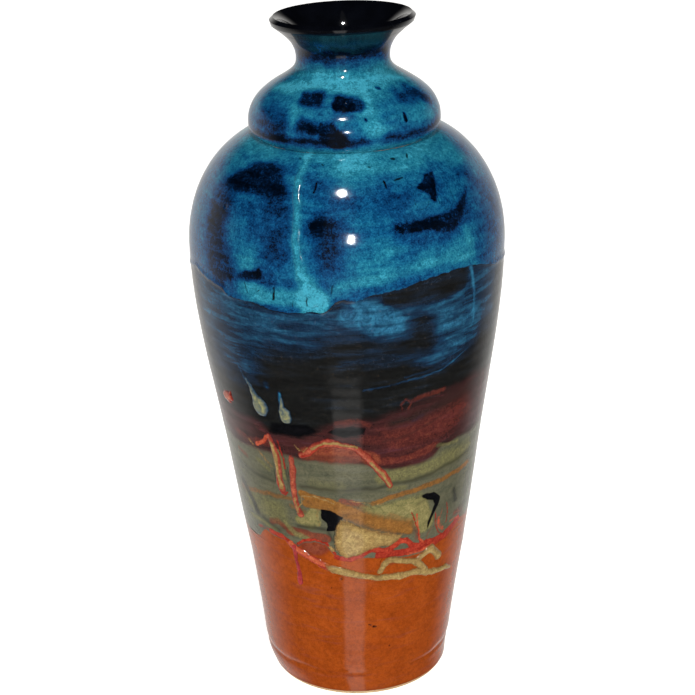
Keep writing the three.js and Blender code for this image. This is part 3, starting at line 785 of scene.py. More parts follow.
def places(points):
    """The angle and height at which each point looks up the painting."""
    angle = np.degrees(np.arctan2(points[:, 0], -points[:, 1]))
    height = points[:, 2].copy()
    per_degree = np.radians(np.maximum(radius_at(height), 20))
    back = smooth(90, 125, np.abs(angle))
    angle = half_turned(angle)
    angle += (0.7 * wander(points, 5, 1) + 0.3 * wander(points, 1.8, 2)) / per_degree
    height += 0.6 * wander(points, 5.5, 3) + 0.3 * wander(points, 1.9, 4)
    angle += back * BACK_SHIFT_DEGREES * wander(points, 38, 5)
    height += back * BACK_SHIFT_MM * wander(points, 33, 6)
    return angle, height


def laid(cover, distance, soft, strength=1.0):
    """Lays one more stroke, full inside its line and fading out over a soft edge."""
    return np.maximum(cover, strength * (1 - smooth(-soft / 2, soft / 2, distance)))


front_angle, front_height = places(np.array([[0, -BELLY_R, SHOULDER_Z]]))
print("the front of the belly takes its paint from", front_angle.round(2), front_height.round(1))

# %% [markdown]
# The thick glazes are kept by the name of their CAD piece, because each one is painted on the coat and also
# stands on it as a piece of its own. Both come from the same distance, so the paint and the relief agree.

# %% Thick glazes
THICK = {
    **TRAILS, **EMBERS, **STRAW_DRIPS, "crimson_drip": CRIMSON_DRIP, "turquoise_run": TURQUOISE_RUN,
    "cream_pool": (8, 0.7, CREAM_POOL), "ember_pool": (6, 0.7, EMBER_POOL),
}
THICK_GLAZE = {
    "long_trail": "cream",
    "forked_trail": "cream",
    "hooked_trail": "cream",
    "cream_pool": "cream",
    "left_ember_run": "ember",
    "middle_ember_run": "ember",
    "ember_arc": "ember",
    "ember_pool": "ember",
    "left_straw_drip": "straw",
    "right_straw_drip": "straw",
    "crimson_drip": "crimson",
    "turquoise_run": "turquoise",
}


def thick_distance(name, angle, height):
    width, _, stops = THICK[name]
    if name.endswith("_pool"):
        return pool(angle, height, stops)
    return stroke(angle, height, stops, width)


print(len(THICK), "thick runs, trails and pools")

# %% [markdown]
# The shade of the blue starts from the height alone, because the coat thins towards the lip and gathers
# above the crease. Its dip at 303 mm, where the collar bulges out over the crease, is painted shade along
# the crease. Broad noise makes it uneven, and then the strokes and the navy pools change it.

# %% Shade of the blue
SHADE_STOPS = [
    # The low 0.3 at 303 mm is painted shade along the crease under the collar.
    (226, 0.3), (233, 0.38), (240, 0.45), (250, 0.43), (262, 0.4), (276, 0.43), (286, 0.47), (293, 0.5),
    (298, 0.53), (303, 0.3), (310, 0.5), (320, 0.5), (327, 0.66), (331, 0.66), (334, 0.5), (338, 0.36),
    (344, 0.22), (351, 0.12),
]
NAVY_DEPTH = 0.95
NAVY_SPREAD = 0.6


def blue_shade(points, angle, height):
    shade = np.interp(height, *np.array(SHADE_STOPS).T)
    shade += 0.1 * wander(points, 24, 7) + 0.08 * wander(points, 9, 8) + 0.05 * wander(points, 4, 9)
    for strength, soft, width, stops in BLUE_STROKES + COLLAR_STROKES:
        shade += strength * (1 - smooth(-soft, soft, stroke(angle, height, stops, width)))
    for soft, stops in NAVY_POOLS:
        spread = NAVY_SPREAD * soft
        shade *= 1 - NAVY_DEPTH * (1 - smooth(-spread, spread, pool(angle, height, stops)))
    return np.clip(shade, 0, 1)


print("shade from", min(share for _, share in SHADE_STOPS), "to", max(share for _, share in SHADE_STOPS))

# %% [markdown]
# Ink, haze and the brushed glazes are covers from 0 to 1. A later stroke never thins an earlier one, so a
# cover is the largest of its strokes, which is how wet glaze of one kind flows together.

# %% Covers
POOL_INK_SPREAD = 1.4
LINE_INK_SPREAD = 0.5
LINE_INK = 0.7
LEFT_BY_CLEARING = 0.3


def brushed(angle, height, strokes, washes=()):
    cover = np.zeros(len(angle))
    for strength, soft, width, stops in strokes:
        cover = laid(cover, stroke(angle, height, stops, width), soft, strength)
    for strength, soft, stops in washes:
        cover = laid(cover, pool(angle, height, stops), soft, strength)
    return cover


def inked(angle, height):
    ink = np.zeros(len(angle))
    for soft, stops in INK_POOLS:
        ink = laid(ink, pool(angle, height, stops), soft * POOL_INK_SPREAD)
    for soft, width, stops in INK_STROKES:
        ink = laid(ink, stroke(angle, height, stops, width), soft + LINE_INK_SPREAD, LINE_INK)
    return ink


def hazed(angle, height):
    haze = brushed(angle, height, HAZE_STROKES, HAZE_POOLS)
    for soft, stops in CLEAR_POOLS:
        kept = smooth(-soft / 2, soft / 2, pool(angle, height, stops))
        haze *= LEFT_BY_CLEARING + (1 - LEFT_BY_CLEARING) * kept
    return haze * smooth(0, 3, edge(BLUE_EDGE, angle) - height + 2.4)


print("haze in its cloud:", hazed(np.array([5.0]), np.array([228.0])).round(2))

# %% [markdown]
# The paint function gives each point of a surface its amounts of the glazes. They are kept as attributes of
# the mesh, and the material turns them into colours. The long trail starts red at its left end, where it
# was drawn through wet scarlet, and turns to cream. The turquoise run is in the shade of the blue already.

# %% Paint
BRUSHED = {
    "smoke": SMOKE, "rust": RUST, "olive": OLIVE, "ochre": OCHRE, "scarlet": SCARLET, "coral": CORAL,
    "cream": CREAM, "ember": [], "crimson": [], "straw": [],
}
THICK_SPREAD = 0.7
RED_END = (-20, -8)
RED_OVER_CREAM = 0.8


def paint(points):
    angle, height = places(points)
    coats = {
        "sunset": smooth(-0.8, 0.8, height - edge(TERRACOTTA_EDGE, angle)),
        "red": smooth(-3, 3, height - edge(SAGE_EDGE, angle)),
        "night": smooth(-5, 5, height - edge(RED_EDGE, angle)),
        "blue": smooth(-0.7, 0.7, height - edge(BLUE_EDGE, angle)),
        "haze": hazed(angle, height),
        "ink": inked(angle, height),
        "shade": blue_shade(points, angle, height),
    }
    for glaze, strokes in BRUSHED.items():
        coats[glaze] = brushed(angle, height, strokes, WASHES.get(glaze, ()))
    thick = {name: thick_distance(name, angle, height) for name in THICK}
    for name, glaze in THICK_GLAZE.items():
        if glaze in coats:
            coats[glaze] = laid(coats[glaze], thick[name], THICK[name][0] * THICK_SPREAD)
    red_end = laid(np.zeros(len(points)), thick["long_trail"], TRAILS["long_trail"][0] * THICK_SPREAD)
    red_end *= 1 - smooth(*RED_END, angle)
    coats["cream"] *= 1 - RED_OVER_CREAM * red_end
    coats["scarlet"] = np.maximum(coats["scarlet"], red_end)
    return coats


def keep_paint(piece, points):
    for name, amounts in paint(points).items():
        attribute = piece.data.attributes.new(name, "FLOAT", "POINT")
        attribute.data.foreach_set("value", amounts.astype(np.float32))


print(list(paint(np.array([[0, -BELLY_R, SHOULDER_Z]]))))

# %% [markdown]
# ## The glaze as a material
# Fired glaze is a glass, about 0.6 mm thick, over the clay. It is smooth, so its roughness is low and its
# index of refraction is that of a glass. Every material here is built of nodes by one small helper, and
# its patterns are sized in millimetres.

# %% Colours and nodes
GLASS_IOR = 1.5


def linear(hex_colour):
    """An sRGB colour such as #ffcc00 as the linear red, green, blue and alpha that sockets take."""
    shares = [int(hex_colour[i:i + 2], 16) / 255 for i in (1, 3, 5)]
    return (*[s / 12.92 if s <= 0.04045 else ((s + 0.055) / 1.055) ** 2.4 for s in shares], 1.0)


def add_node(tree, kind, inputs=(), **settings):
    """Adds a node, sets its settings, and sets or links its inputs."""
    made = tree.nodes.new(kind)
    for name, value in settings.items():
        setattr(made, name, value)
    for socket, value in dict(inputs).items():
        if isinstance(value, bpy.types.NodeSocket):
            tree.links.new(value, made.inputs[socket])
        else:
            made.inputs[socket].default_value = value
    return made


def per_metre(size_mm):
    """The scale that gives a noise texture features of this size."""
    return 1 / (size_mm * MM)


def new_material(name):
    material = bpy.data.materials.new(name)
    material.use_nodes = True
    material.node_tree.nodes.clear()
    return material


print("a noise of 2 mm has the scale", per_metre(2))

# %% [markdown]
# Under the gloss the colour is mottled, because the oxides gather in specks, cells and clouds. Each pattern
# is a noise with its size in millimetres, its detail, its roughness and its distortion. The finest, 0.8 mm,
# is drawn coarser than the real specks, so that it shows. The brush marks are a noise stretched level, as
# the brush was held still while the vase turned.

# %% Patterns in the glaze
PATTERNS = {
    "mottle": (2.4, 4.0, 0.62, 0.5), "specks": (0.8, 2.0, 0.7, 0.0), "blots": (5, 6.0, 0.7, 1.2),
    "clouds": (14, 5.0, 0.6, 0.8), "brush": (3.2, 5.0, 0.6, 0.3),
}
STRETCHED = {"drift": ("brush", 0.25, 0.75), "patch": ("clouds", 0.34, 0.66), "cells": ("blots", 0.3, 0.66)}
LEVEL_MARKS = (0.16, 0.16, 1.0)


def glaze_patterns(tree):
    """Adds the noises to a material, and returns their outputs by name."""
    place = add_node(tree, "ShaderNodeTexCoord").outputs["Object"]
    level = add_node(tree, "ShaderNodeMapping", {"Vector": place, "Scale": LEVEL_MARKS}).outputs["Vector"]
    made = {}
    for name, (size, detail, rough, distortion) in PATTERNS.items():
        made[name] = add_node(tree, "ShaderNodeTexNoise", {
            "Vector": level if name == "brush" else place, "Scale": per_metre(size),
            "Detail": detail, "Roughness": rough, "Distortion": distortion,
        }).outputs["Fac"]
    for name, (source, low, high) in STRETCHED.items():
        made[name] = add_node(tree, "ShaderNodeMapRange", {
            "Value": made[source], "From Min": low, "From Max": high,
        }).outputs["Result"]
    both = add_node(tree, "ShaderNodeMath", {0: made["mottle"], 1: made["specks"]}, operation="ADD")
    both = both.outputs[0]
    made["both"] = both
    made["grain"] = add_node(tree, "ShaderNodeMath", {0: both, 1: -1.0}, operation="ADD").outputs[0]
    made["streak"] = add_node(tree, "ShaderNodeMath", {0: made["brush"], 1: -0.5}, operation="ADD").outputs[0]
    return made


print(len(PATTERNS), "noises, the broadest", max(row[0] for row in PATTERNS.values()), "mm")

# %% [markdown]
# The blue is one colour ramp over its shade, from iron black through navy to turquoise. The grain and the
# brush marks move the shade before it is looked up, so the mottling has the same colours as the strokes.

# %% Blue of the glaze
BLUE_RAMP = [
    (0.0, "#010610"), (0.14, "#041832"), (0.3, "#07325a"), (0.45, "#0c466c"), (0.6, "#155b78"),
    (0.78, "#217085"), (1.0, "#3890a5"),
]
GRAIN_IN_BLUE = 0.5
STREAKS_IN_BLUE = 0.6


def blue_of_glaze(tree, pattern):
    moved = add_node(tree, "ShaderNodeAttribute", attribute_name="shade").outputs["Fac"]
    for name, depth in (("grain", GRAIN_IN_BLUE), ("streak", STREAKS_IN_BLUE)):
        moved = add_node(tree, "ShaderNodeMath", {0: pattern[name], 1: depth, 2: moved},
                         operation="MULTIPLY_ADD").outputs[0]
    ramp = add_node(tree, "ShaderNodeValToRGB", {"Fac": moved})
    stops = ramp.color_ramp.elements
    stops[0].position, stops[1].position = 0, 1
    for position, _ in BLUE_RAMP[1:-1]:
        stops.new(position)
    for stop, (_, colour) in zip(stops, BLUE_RAMP):
        stop.color = linear(colour)
    return ramp.outputs["Color"]


print(len(BLUE_RAMP), "blues")

# %% [markdown]
# Each glaze over the terracotta is a layer with a thin colour, a thick colour and the softness of its edge.
# A mask from the mesh says where the glaze is, and the grain frays its edge. The haze is frayed by the brush
# marks instead, because it was brushed on thinly.

# %% Layers
LAYERS = [
    ("sunset", "#45473a", "#63604a", 2.6),
    ("red", "#201414", "#4c2524", 4.0),
    ("night", "#0a0b0b", "#1b1c1b", 4.5),
    ("haze", "#10304e", "#337b9b", 5.0),
    ("rust", "#662b22", "#8e4c2e", 4.6),
    ("olive", "#66633c", "#8b8054", 4.6),
    ("ochre", "#6e4722", "#90642e", 4.0),
    ("smoke", "#1b1c19", "#14151a", 5.0),
    ("blue", None, None, 1.2),
    ("ink", "#020305", "#0e0d10", 2.6),
    ("ember", "#74231f", "#a85a3e", 1.8),
    ("scarlet", "#7c1c15", "#b0452e", 1.4),
    ("coral", "#a3402a", "#bb7048", 1.4),
    ("straw", "#1a3a54", "#9a945c", 1.6),
    ("cream", "#785b35", "#a68f59", 1.4),
    ("crimson", "#7c2328", "#9f3934", 1.2),
]
BROAD_COATS = ("sunset", "red", "night")
GRAIN_FRAY = ("grain", 0.5)
HAZE_FRAY = ("streak", 1.3)


def mask_of(tree, name, soft, pattern):
    """Where a layer lies, and its frayed amount from the mesh."""
    amount = add_node(tree, "ShaderNodeAttribute", attribute_name=name).outputs["Fac"]
    frayed_by, depth = HAZE_FRAY if name == "haze" else GRAIN_FRAY
    frayed = add_node(tree, "ShaderNodeMath", {0: pattern[frayed_by], 1: depth, 2: amount},
                      operation="MULTIPLY_ADD").outputs[0]
    mask = add_node(tree, "ShaderNodeMapRange", {
        "Value": frayed, "From Min": 0.5 - 0.1 * soft, "From Max": 0.5 + 0.1 * soft,
    }, interpolation_type="SMOOTHSTEP").outputs["Result"]
    return mask, frayed


def glaze_of(tree, name, thin, thick, frayed, pattern):
    """A layer's own colour, between its thin and its thick one."""
    if name == "blue":
        return blue_of_glaze(tree, pattern)
    share = pattern["drift"]
    if name not in BROAD_COATS:
        middle = add_node(tree, "ShaderNodeMapRange", {"Value": frayed, "From Min": 0.5, "From Max": 1.05})
        share = add_node(tree, "ShaderNodeMath", {0: middle.outputs["Result"], 1: pattern["cells"]},
                         operation="MULTIPLY").outputs[0]
    return add_node(tree, "ShaderNodeMix", {0: share, 6: linear(thin), 7: linear(thick)},
                    data_type="RGBA").outputs[2]


print(len(LAYERS), "layers of glaze")

# %% [markdown]
# The layered glaze starts from the terracotta slip at the foot and mixes the layers over it, one after
# another. Sixteen separate materials would leave hard seams between the glazes, where one material lets
# them melt into each other. Two fine bumps, over clouds and over mottling, make the gloss waver.

# %% Layered glaze
TERRACOTTA = ("#883a0c", "#954311")
RIPPLE_HIGH, RIPPLE_STRENGTH = 0.4 * MM, 0.12
GRAIN_HIGH, GRAIN_STRENGTH = 0.1 * MM, 0.1


def layered_glaze():
    material = new_material("layered_glaze")
    tree = material.node_tree
    pattern = glaze_patterns(tree)
    colour = add_node(tree, "ShaderNodeMix", {
        0: pattern["patch"], 6: linear(TERRACOTTA[0]), 7: linear(TERRACOTTA[1]),
    }, data_type="RGBA").outputs[2]
    for name, thin, thick, soft in LAYERS:
        mask, frayed = mask_of(tree, name, soft, pattern)
        glaze = glaze_of(tree, name, thin, thick, frayed, pattern)
        colour = add_node(tree, "ShaderNodeMix", {0: mask, 6: colour, 7: glaze}, data_type="RGBA").outputs[2]

    # The grain also darkens and lightens every glaze a little.
    dappled = add_node(tree, "ShaderNodeMapRange", {
        "Value": pattern["both"], "From Min": 0.7, "From Max": 1.3, "To Min": 0.72, "To Max": 1.28,
    }).outputs["Result"]
    colour = add_node(tree, "ShaderNodeMix", {0: 1.0, 6: colour, 7: dappled}, data_type="RGBA",
                      blend_type="MULTIPLY").outputs[2]
    ripple = add_node(tree, "ShaderNodeBump", {
        "Height": pattern["clouds"], "Strength": RIPPLE_STRENGTH, "Distance": RIPPLE_HIGH,
    })
    fine = add_node(tree, "ShaderNodeBump", {
        "Height": pattern["mottle"], "Strength": GRAIN_STRENGTH, "Distance": GRAIN_HIGH,
        "Normal": ripple.outputs["Normal"],
    })
    gloss = add_node(tree, "ShaderNodeMapRange", {"Value": pattern["clouds"], "To Min": 0.05, "To Max": 0.12})
    shader = add_node(tree, "ShaderNodeBsdfPrincipled", {
        "Base Color": colour, "Roughness": gloss.outputs["Result"], "IOR": GLASS_IOR,
        "Normal": fine.outputs["Normal"],
    })
    add_node(tree, "ShaderNodeOutputMaterial", {"Surface": shader.outputs["BSDF"]})
    return material


layered = layered_glaze()
print(layered.name, "has", len(layered.node_tree.nodes), "nodes")

# %% [markdown]
# The inside and the lip are lined with a black glaze, dense with iron and cobalt, which comes from the kiln
# with a faint blue cast. Its waves are about 9 mm wide, and they bend its reflections a little.

# %% Black liner glaze
def black_glaze():
    material = new_material("black_glaze")
    tree = material.node_tree
    place = add_node(tree, "ShaderNodeTexCoord").outputs["Object"]
    waves = add_node(tree, "ShaderNodeTexNoise", {
        "Vector": place, "Scale": per_metre(9), "Detail": 3.0,
    }).outputs["Fac"]
    colour = add_node(tree, "ShaderNodeMix", {0: waves, 6: linear("#010102"), 7: linear("#0a0c12")},
                      data_type="RGBA").outputs[2]
    ripple = add_node(tree, "ShaderNodeBump", {"Height": waves, "Strength": 0.12, "Distance": 0.3 * MM})
    gloss = add_node(tree, "ShaderNodeMapRange", {"Value": waves, "To Min": 0.04, "To Max": 0.1})
    shader = add_node(tree, "ShaderNodeBsdfPrincipled", {
        "Base Color": colour, "Roughness": gloss.outputs["Result"], "IOR": GLASS_IOR,
        "Normal": ripple.outputs["Normal"],
    })
    add_node(tree, "ShaderNodeOutputMaterial", {"Surface": shader.outputs["BSDF"]})
    return material


black = black_glaze()
print(black.name, "has", len(black.node_tree.nodes), "nodes")

# %% [markdown]
# Stoneware clay is fired until it is dense. Where no glaze covers it, it is matt and pale tan, with sandy
# grog about 0.7 mm wide and darker iron specks about 3 mm apart. Voronoi cells give the specks their even
# scatter, and the grog is relief more than colour.

# %% Stoneware clay
def stoneware():
    material = new_material("stoneware_clay")
    tree = material.node_tree
    place = add_node(tree, "ShaderNodeTexCoord").outputs["Object"]
    patches = add_node(tree, "ShaderNodeTexNoise", {"Vector": place, "Scale": per_metre(12), "Detail": 4.0})
    grog = add_node(tree, "ShaderNodeTexNoise", {"Vector": place, "Scale": per_metre(0.7), "Detail": 3.0})
    iron = add_node(tree, "ShaderNodeTexVoronoi", {"Vector": place, "Scale": per_metre(3)})
    body = add_node(tree, "ShaderNodeMix", {
        0: patches.outputs["Fac"], 6: linear("#a07e54"), 7: linear("#c4ab84"),
    }, data_type="RGBA").outputs[2]
    spot = add_node(tree, "ShaderNodeMapRange", {
        "Value": iron.outputs["Distance"], "From Min": 0.08, "From Max": 0.16,
    }).outputs["Result"]
    colour = add_node(tree, "ShaderNodeMix", {0: spot, 6: linear("#5a3d26"), 7: body},
                      data_type="RGBA").outputs[2]
    rough = add_node(tree, "ShaderNodeBump", {
        "Height": grog.outputs["Fac"], "Strength": 0.5, "Distance": 0.15 * MM,
    })
    shader = add_node(tree, "ShaderNodeBsdfPrincipled", {
        "Base Color": colour, "Roughness": 0.85, "IOR": 1.5, "Normal": rough.outputs["Normal"],
    })
    add_node(tree, "ShaderNodeOutputMaterial", {"Surface": shader.outputs["BSDF"]})
    return material


clay = stoneware()
print(clay.name, "has", len(clay.node_tree.nodes), "nodes")

# %% [markdown]
# ## The clay
# The potter throws the foot, the two walls, the shoulder and the collar one on top of another, and joins them
# with slip while the clay is soft. Each section could be cut from one big solid, but turning each from its
# own outline, between the coat and the liner, gives closed pieces with no cut to clean.

# %% Clay sections
JOINT = 0.3
COAT_AND_GAP = GLAZE + JOINT
SECTIONS = [
    ("lower_clay", "lower_wall", LOWER_Z + 6.6, BELLY_Z), ("belly_clay", "belly_wall", BELLY_Z, SHOULDER_Z),
    ("shoulder_clay", "shoulder", SHOULDER_Z, CREASE_Z), ("collar_clay", "collar", CREASE_Z, NECK_Z),
]


def part_of(line, low, high):
    return [(r, z) for r, z in line if low < z < high]


def add_to_vase(piece, body_slot, *nodes):
    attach(piece, "root")
    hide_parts(*nodes)


def turned_clay(name, node, outline, sector_steps):
    piece = turned(name, outline, sector_steps)
    put_points(piece, hand(points_of(piece)))
    piece.data.materials.append(clay)
    add_to_vase(piece, "stoneware", node)
    print(name, len(piece.data.polygons), "faces")


for name, node, low, high in SECTIONS:
    low += JOINT / 2
    high -= JOINT / 2
    outer = part_of(moved_in(evenly(skin, 2), COAT_AND_GAP), low, high)
    inner = part_of(moved_in(evenly(hollow, 2), COAT_AND_GAP), low, high)
    top = [(outer[-1][0], high), (inner[0][0], high)]
    turned_clay(name, node, [(outer[0][0], low), *outer, *top, *inner, (inner[-1][0], low)], 3)

# %% [markdown]
# The neck and the lip are one thrown section, pulled up and rolled outwards at the rim. The clay follows the
# outside up to the middle of the lip and comes down the inside, so the two lines meet where the lip is
# thickest.

# %% Neck and lip clay
LIP_MIDDLE = LIP_STEPS // 2
neck_low = NECK_Z + JOINT / 2
lip_and_out = evenly([*skin, *hollow[:LIP_MIDDLE + 1]], 0.8)
in_and_down = evenly(hollow[LIP_MIDDLE:], 0.8)
outside = part_of(moved_in(lip_and_out, COAT_AND_GAP), neck_low, TOP_Z)
inside = part_of(moved_in(in_and_down, COAT_AND_GAP), neck_low, TOP_Z)
turned_clay("neck_clay", "neck_and_lip", [*outside, *inside], 3)

# %% [markdown]
# The foot shows its bare clay in a thin line below the glaze. Underneath it has a ring to stand on, with a
# shallow recess inside, so that the vase doesn't rock. The potter rounds the sharp edge with a sponge. All
# of it is in the outline, which a Bevel could not round so unevenly.

# %% Foot
SPONGED = 1.2
FOOT_WALL_TOP = LOWER_Z + 6.4
ring_out = FOOT_R - 0.9
ring_in = ring_out - FOOT_RING
bare_r = float(radius_at(BARE_Z))
foot_wall = part_of(moved_in(evenly(skin, 1), COAT_AND_GAP), BARE_Z + 0.4, FOOT_WALL_TOP)
foot_inside = part_of(moved_in(evenly(hollow, 1.5), COAT_AND_GAP), FLOOR_Z - JOINT, FOOT_WALL_TOP)
foot_line = [
    (0, RECESS), (ring_in - 2, RECESS), (ring_in - 0.8, RECESS - 0.8), (ring_in, 1), (ring_in + 1, 0),
    (ring_out - SPONGED, 0), (ring_out, 0.35), (FOOT_R - 0.25, SPONGED), (bare_r - 0.12, BARE_Z - 0.2),
    (bare_r - COAT_AND_GAP, BARE_Z), *foot_wall, *foot_inside, (0, FLOOR_Z - COAT_AND_GAP),
]
turned_clay("foot_clay", "foot_base", foot_line, 11)

# %% [markdown]
# The liner is poured in, swilled round and poured out, so it is one coat over the floor, the walls, the
# neck and the rolled lip. Its front is the hollow's own line, and its back is the same line moved into the
# clay, which keeps it the same thickness all over.

# %% Liner
LINER_START_Z = TOP_Z - 8
around_lip = [(r, z) for r, z in evenly(skin, 0.5) if z > LINER_START_Z]
liner_front = np.array([*around_lip, *evenly(hollow, 2.6)[1:]])
liner_back = moved_in(liner_front[:-1], GLAZE)
liner_line = [*liner_front, (0, FLOOR_Z - GLAZE), *liner_back[::-1]]
liner = turned("liner_coat", liner_line, 8)
put_points(liner, hand(points_of(liner)))
liner.data.materials.append(black)
add_to_vase(liner, "black_glaze", "liner_glaze")
print("liner_coat", len(liner.data.polygons), "faces")

# %% [markdown]
# ## The coats
# The outside is dipped and brushed in bands. The wheel leaves faint rings under the glaze, the glaze pools in
# a bead where the blue ends, a groove is turned near the foot, and a few bubbles have burst into pits. All
# of this is moved into the mesh, because a bump in the material would not show in the silhouette.

# %% Uneven glaze
PITS = [
    (40, 312, 1.4), (12.5, 313, 1), (31.5, 324, 0.9), (-14.5, 312, 0.8), (2, 301, 0.8), (-26, 296, 0.8),
    (17.2, 286.5, 1), (24, 288, 1), (12, 293.2, 0.7), (35, 295, 0.9), (-53, 273, 1.2), (21, 177.8, 1.2),
    (-8.4, 76.4, 0.8), (6.2, 46.5, 0.8), (8.6, 45, 0.9), (18.5, 31.8, 0.7),
]
WHEEL_RINGS_APART, WHEEL_RING_HIGH = 6.5, 0.015
BEAD_HIGH, BEAD_WIDE, BEAD_ABOVE_EDGE = 0.4, 1.1, 0.4
GROOVE_Z, GROOVE_DEEP, GROOVE_WIDE = 15, 0.5, 1.6
PIT_DEEP = 0.35


def outwards(points):
    """The direction out of the glazed surface at each point."""
    along = np.gradient(np.array(skin), axis=0)
    slope = np.arctan2(-along[:, 0], along[:, 1])
    tilt = np.interp(points[:, 2], skin_z, slope)
    around = np.arctan2(points[:, 0], -points[:, 1])
    flat = np.cos(tilt)
    return np.column_stack([np.sin(around) * flat, -np.cos(around) * flat, np.sin(tilt)])


def uneven(points):
    """How far the glaze stands out or in, in millimetres, at each point of a coat."""
    angle, height = places(points)
    lift = 0.16 * wander(points, 30, 31) + 0.05 * wander(points, 9, 32)
    turns = (height + 1.5 * wander(points, 40, 33)) / WHEEL_RINGS_APART
    lift += WHEEL_RING_HIGH * np.sin(2 * np.pi * turns)
    from_bead = height - edge(BLUE_EDGE, angle) - BEAD_ABOVE_EDGE
    lift += BEAD_HIGH * np.exp(-(from_bead / BEAD_WIDE) ** 2)
    lift -= GROOVE_DEEP * np.exp(-((height - GROOVE_Z) / GROOVE_WIDE) ** 2)
    for pit_angle, pit_height, width in PITS:
        across = (angle - pit_angle) * np.radians(radius_at(height))
        apart = np.hypot(across, height - pit_height)
        lift -= PIT_DEEP * np.exp(-(apart / (0.5 * width)) ** 2)
    return lift


def lifted(points, lift):
    """The points moved out of the surface, with the lean of the vase."""
    return hand(points + outwards(points) * lift[:, None])


print(len(PITS), "pits")

# %% [markdown]
# Each band is turned with rows less than a millimetre apart, so that the mesh can carry the painting. A
# subdivided CAD shell would do too, but its faces are uneven. The coat of the foot is left flat at its two
# ends, where it meets the bare clay and the next coat.

# %% Coats
BACK_ROWS = 3
COATS = [
    ("collar_coat", "collar_glaze", "blue_glaze", CREASE_Z, LINER_START_Z + 0.2, 0.55),
    ("shoulder_coat", "shoulder_glaze", "blue_glaze", BLUE_EDGE_Z, CREASE_Z, 0.72),
    ("night_coat", "night_glaze", "night_glaze", NIGHT_EDGE_Z, BLUE_EDGE_Z, 0.68),
    ("sunset_coat", "sunset_glaze", "sunset_glaze", SUNSET_EDGE_Z, NIGHT_EDGE_Z, 0.66),
    ("terracotta_coat", "terracotta_glaze", "terracotta_glaze", BARE_Z, SUNSET_EDGE_Z, 0.66),
]


def coat(name, node, slot, low, high, cell):
    front = evenly(between(low, high), cell)
    back = moved_in(evenly(between(low, high), BACK_ROWS), GLAZE)[::-1]
    widest = max(radius for radius, _ in front)
    piece = turned(name, [*front, *back], round(SECTOR * widest / cell))
    points = points_of(piece)
    keep_paint(piece, points)
    lift = uneven(points)
    if name == "terracotta_coat":
        lift *= smooth(0, 0.4, points[:, 2] - low) * smooth(0, 0.4, high - points[:, 2])
    put_points(piece, lifted(points, lift))
    piece.data.materials.append(layered)
    add_to_vase(piece, slot, node)
    print(name, len(piece.data.polygons), "faces")


for row in COATS:
    coat(*row)

# %% [markdown]
# ## Runs, trails and pools
# Thick glaze stands on the coat like a drop on a plate, round at its edge. Each piece starts as a fine grid
# bent round the vase. What lies outside the stroke is deleted, the rest swells up, and Solidify gives it a
# back that sits inside the coat. A curve with a round bevel is quicker, but it can't widen into a pool.

# %% Bent grids
CELL = 0.4
MARGIN = 5
BACK = 0.3 * MM


def bent_grid(name, stops):
    """A flat grid, and the points on the vase, round its stops, that the grid will be bent to."""
    angles = [stop[0] for stop in stops]
    heights = [stop[1] for stop in stops]
    per_degree = math.radians(float(radius_at(sum(heights) / len(heights))))
    low_angle, high_angle = min(angles) - MARGIN / per_degree, max(angles) + MARGIN / per_degree
    low, high = min(heights) - MARGIN, max(heights) + MARGIN
    deselect()
    bpy.ops.mesh.primitive_grid_add(x_subdivisions=round((high_angle - low_angle) * per_degree / CELL),
                                    y_subdivisions=round((high - low) / CELL), size=1)
    piece = bpy.context.object
    piece.name = name
    flat = points_of(piece) * MM
    angle = np.radians(low_angle + (flat[:, 0] + 0.5) * (high_angle - low_angle))
    height = low + (flat[:, 1] + 0.5) * (high - low)
    around = radius_at(height)
    return piece, np.column_stack([around * np.sin(angle), -around * np.cos(angle), height])


def trimmed(piece, outside):
    """Deletes the points outside and gives what is left a back."""
    bpy.ops.object.mode_set(mode="EDIT")
    bpy.ops.mesh.select_mode(type="VERT")
    bpy.ops.mesh.select_all(action="DESELECT")
    bpy.ops.object.mode_set(mode="OBJECT")
    piece.data.vertices.foreach_set("select", outside)
    bpy.ops.object.mode_set(mode="EDIT")
    bpy.ops.mesh.delete(type="VERT")
    bpy.ops.mesh.select_all(action="SELECT")
    bpy.ops.mesh.delete_loose()
    bpy.ops.mesh.select_all(action="SELECT")
    bpy.ops.mesh.normals_make_consistent(inside=False)
    bpy.ops.object.mode_set(mode="OBJECT")
    back = piece.modifiers.new("back", "SOLIDIFY")
    back.thickness = BACK
    back.offset = -1
    bpy.ops.object.modifier_apply(modifier=back.name)
    bpy.ops.object.shade_smooth_by_angle(angle=math.radians(50))


print("grid cells of", CELL, "mm")

# %% [markdown]
# The swell is a quarter of a circle across the edge, steep where the drop meets the coat and level on top.
# The paint is put on before the points are moved, so that it fits the paint of the coat below.

# %% Raised glaze
SUNK = 0.2


def raised(name, slot):
    width, rise, stops = THICK[name]
    piece, points = bent_grid("raised_" + name, stops)
    distance = thick_distance(name, *places(points))
    inward = np.clip(-distance / (width / 2), 0, 1)
    swell = rise * np.sqrt(1 - (1 - inward) ** 2) - SUNK * smooth(-0.3, 0.2, distance)
    keep_paint(piece, points)
    put_points(piece, lifted(points, uneven(points) + swell))
    trimmed(piece, distance > CELL * 1.5)
    piece.data.materials.append(layered)
    add_to_vase(piece, slot, name)
    print(piece.name, len(piece.data.polygons), "faces")


for name, glaze in THICK_GLAZE.items():
    raised(name, glaze + "_glaze")

# %% [markdown]
# ## Table and light
# The vase stands on a pale card, big enough to fill the view. A glossy pot shows its surroundings, and the
# table would lay a grey veil over the dark glazes, so it stays out of the gloss. It glows a little of its
# own, which is how a white card looks under studio light.

# %% Table
TABLE_SIZE = 10
TABLE_GLOW = 0.85


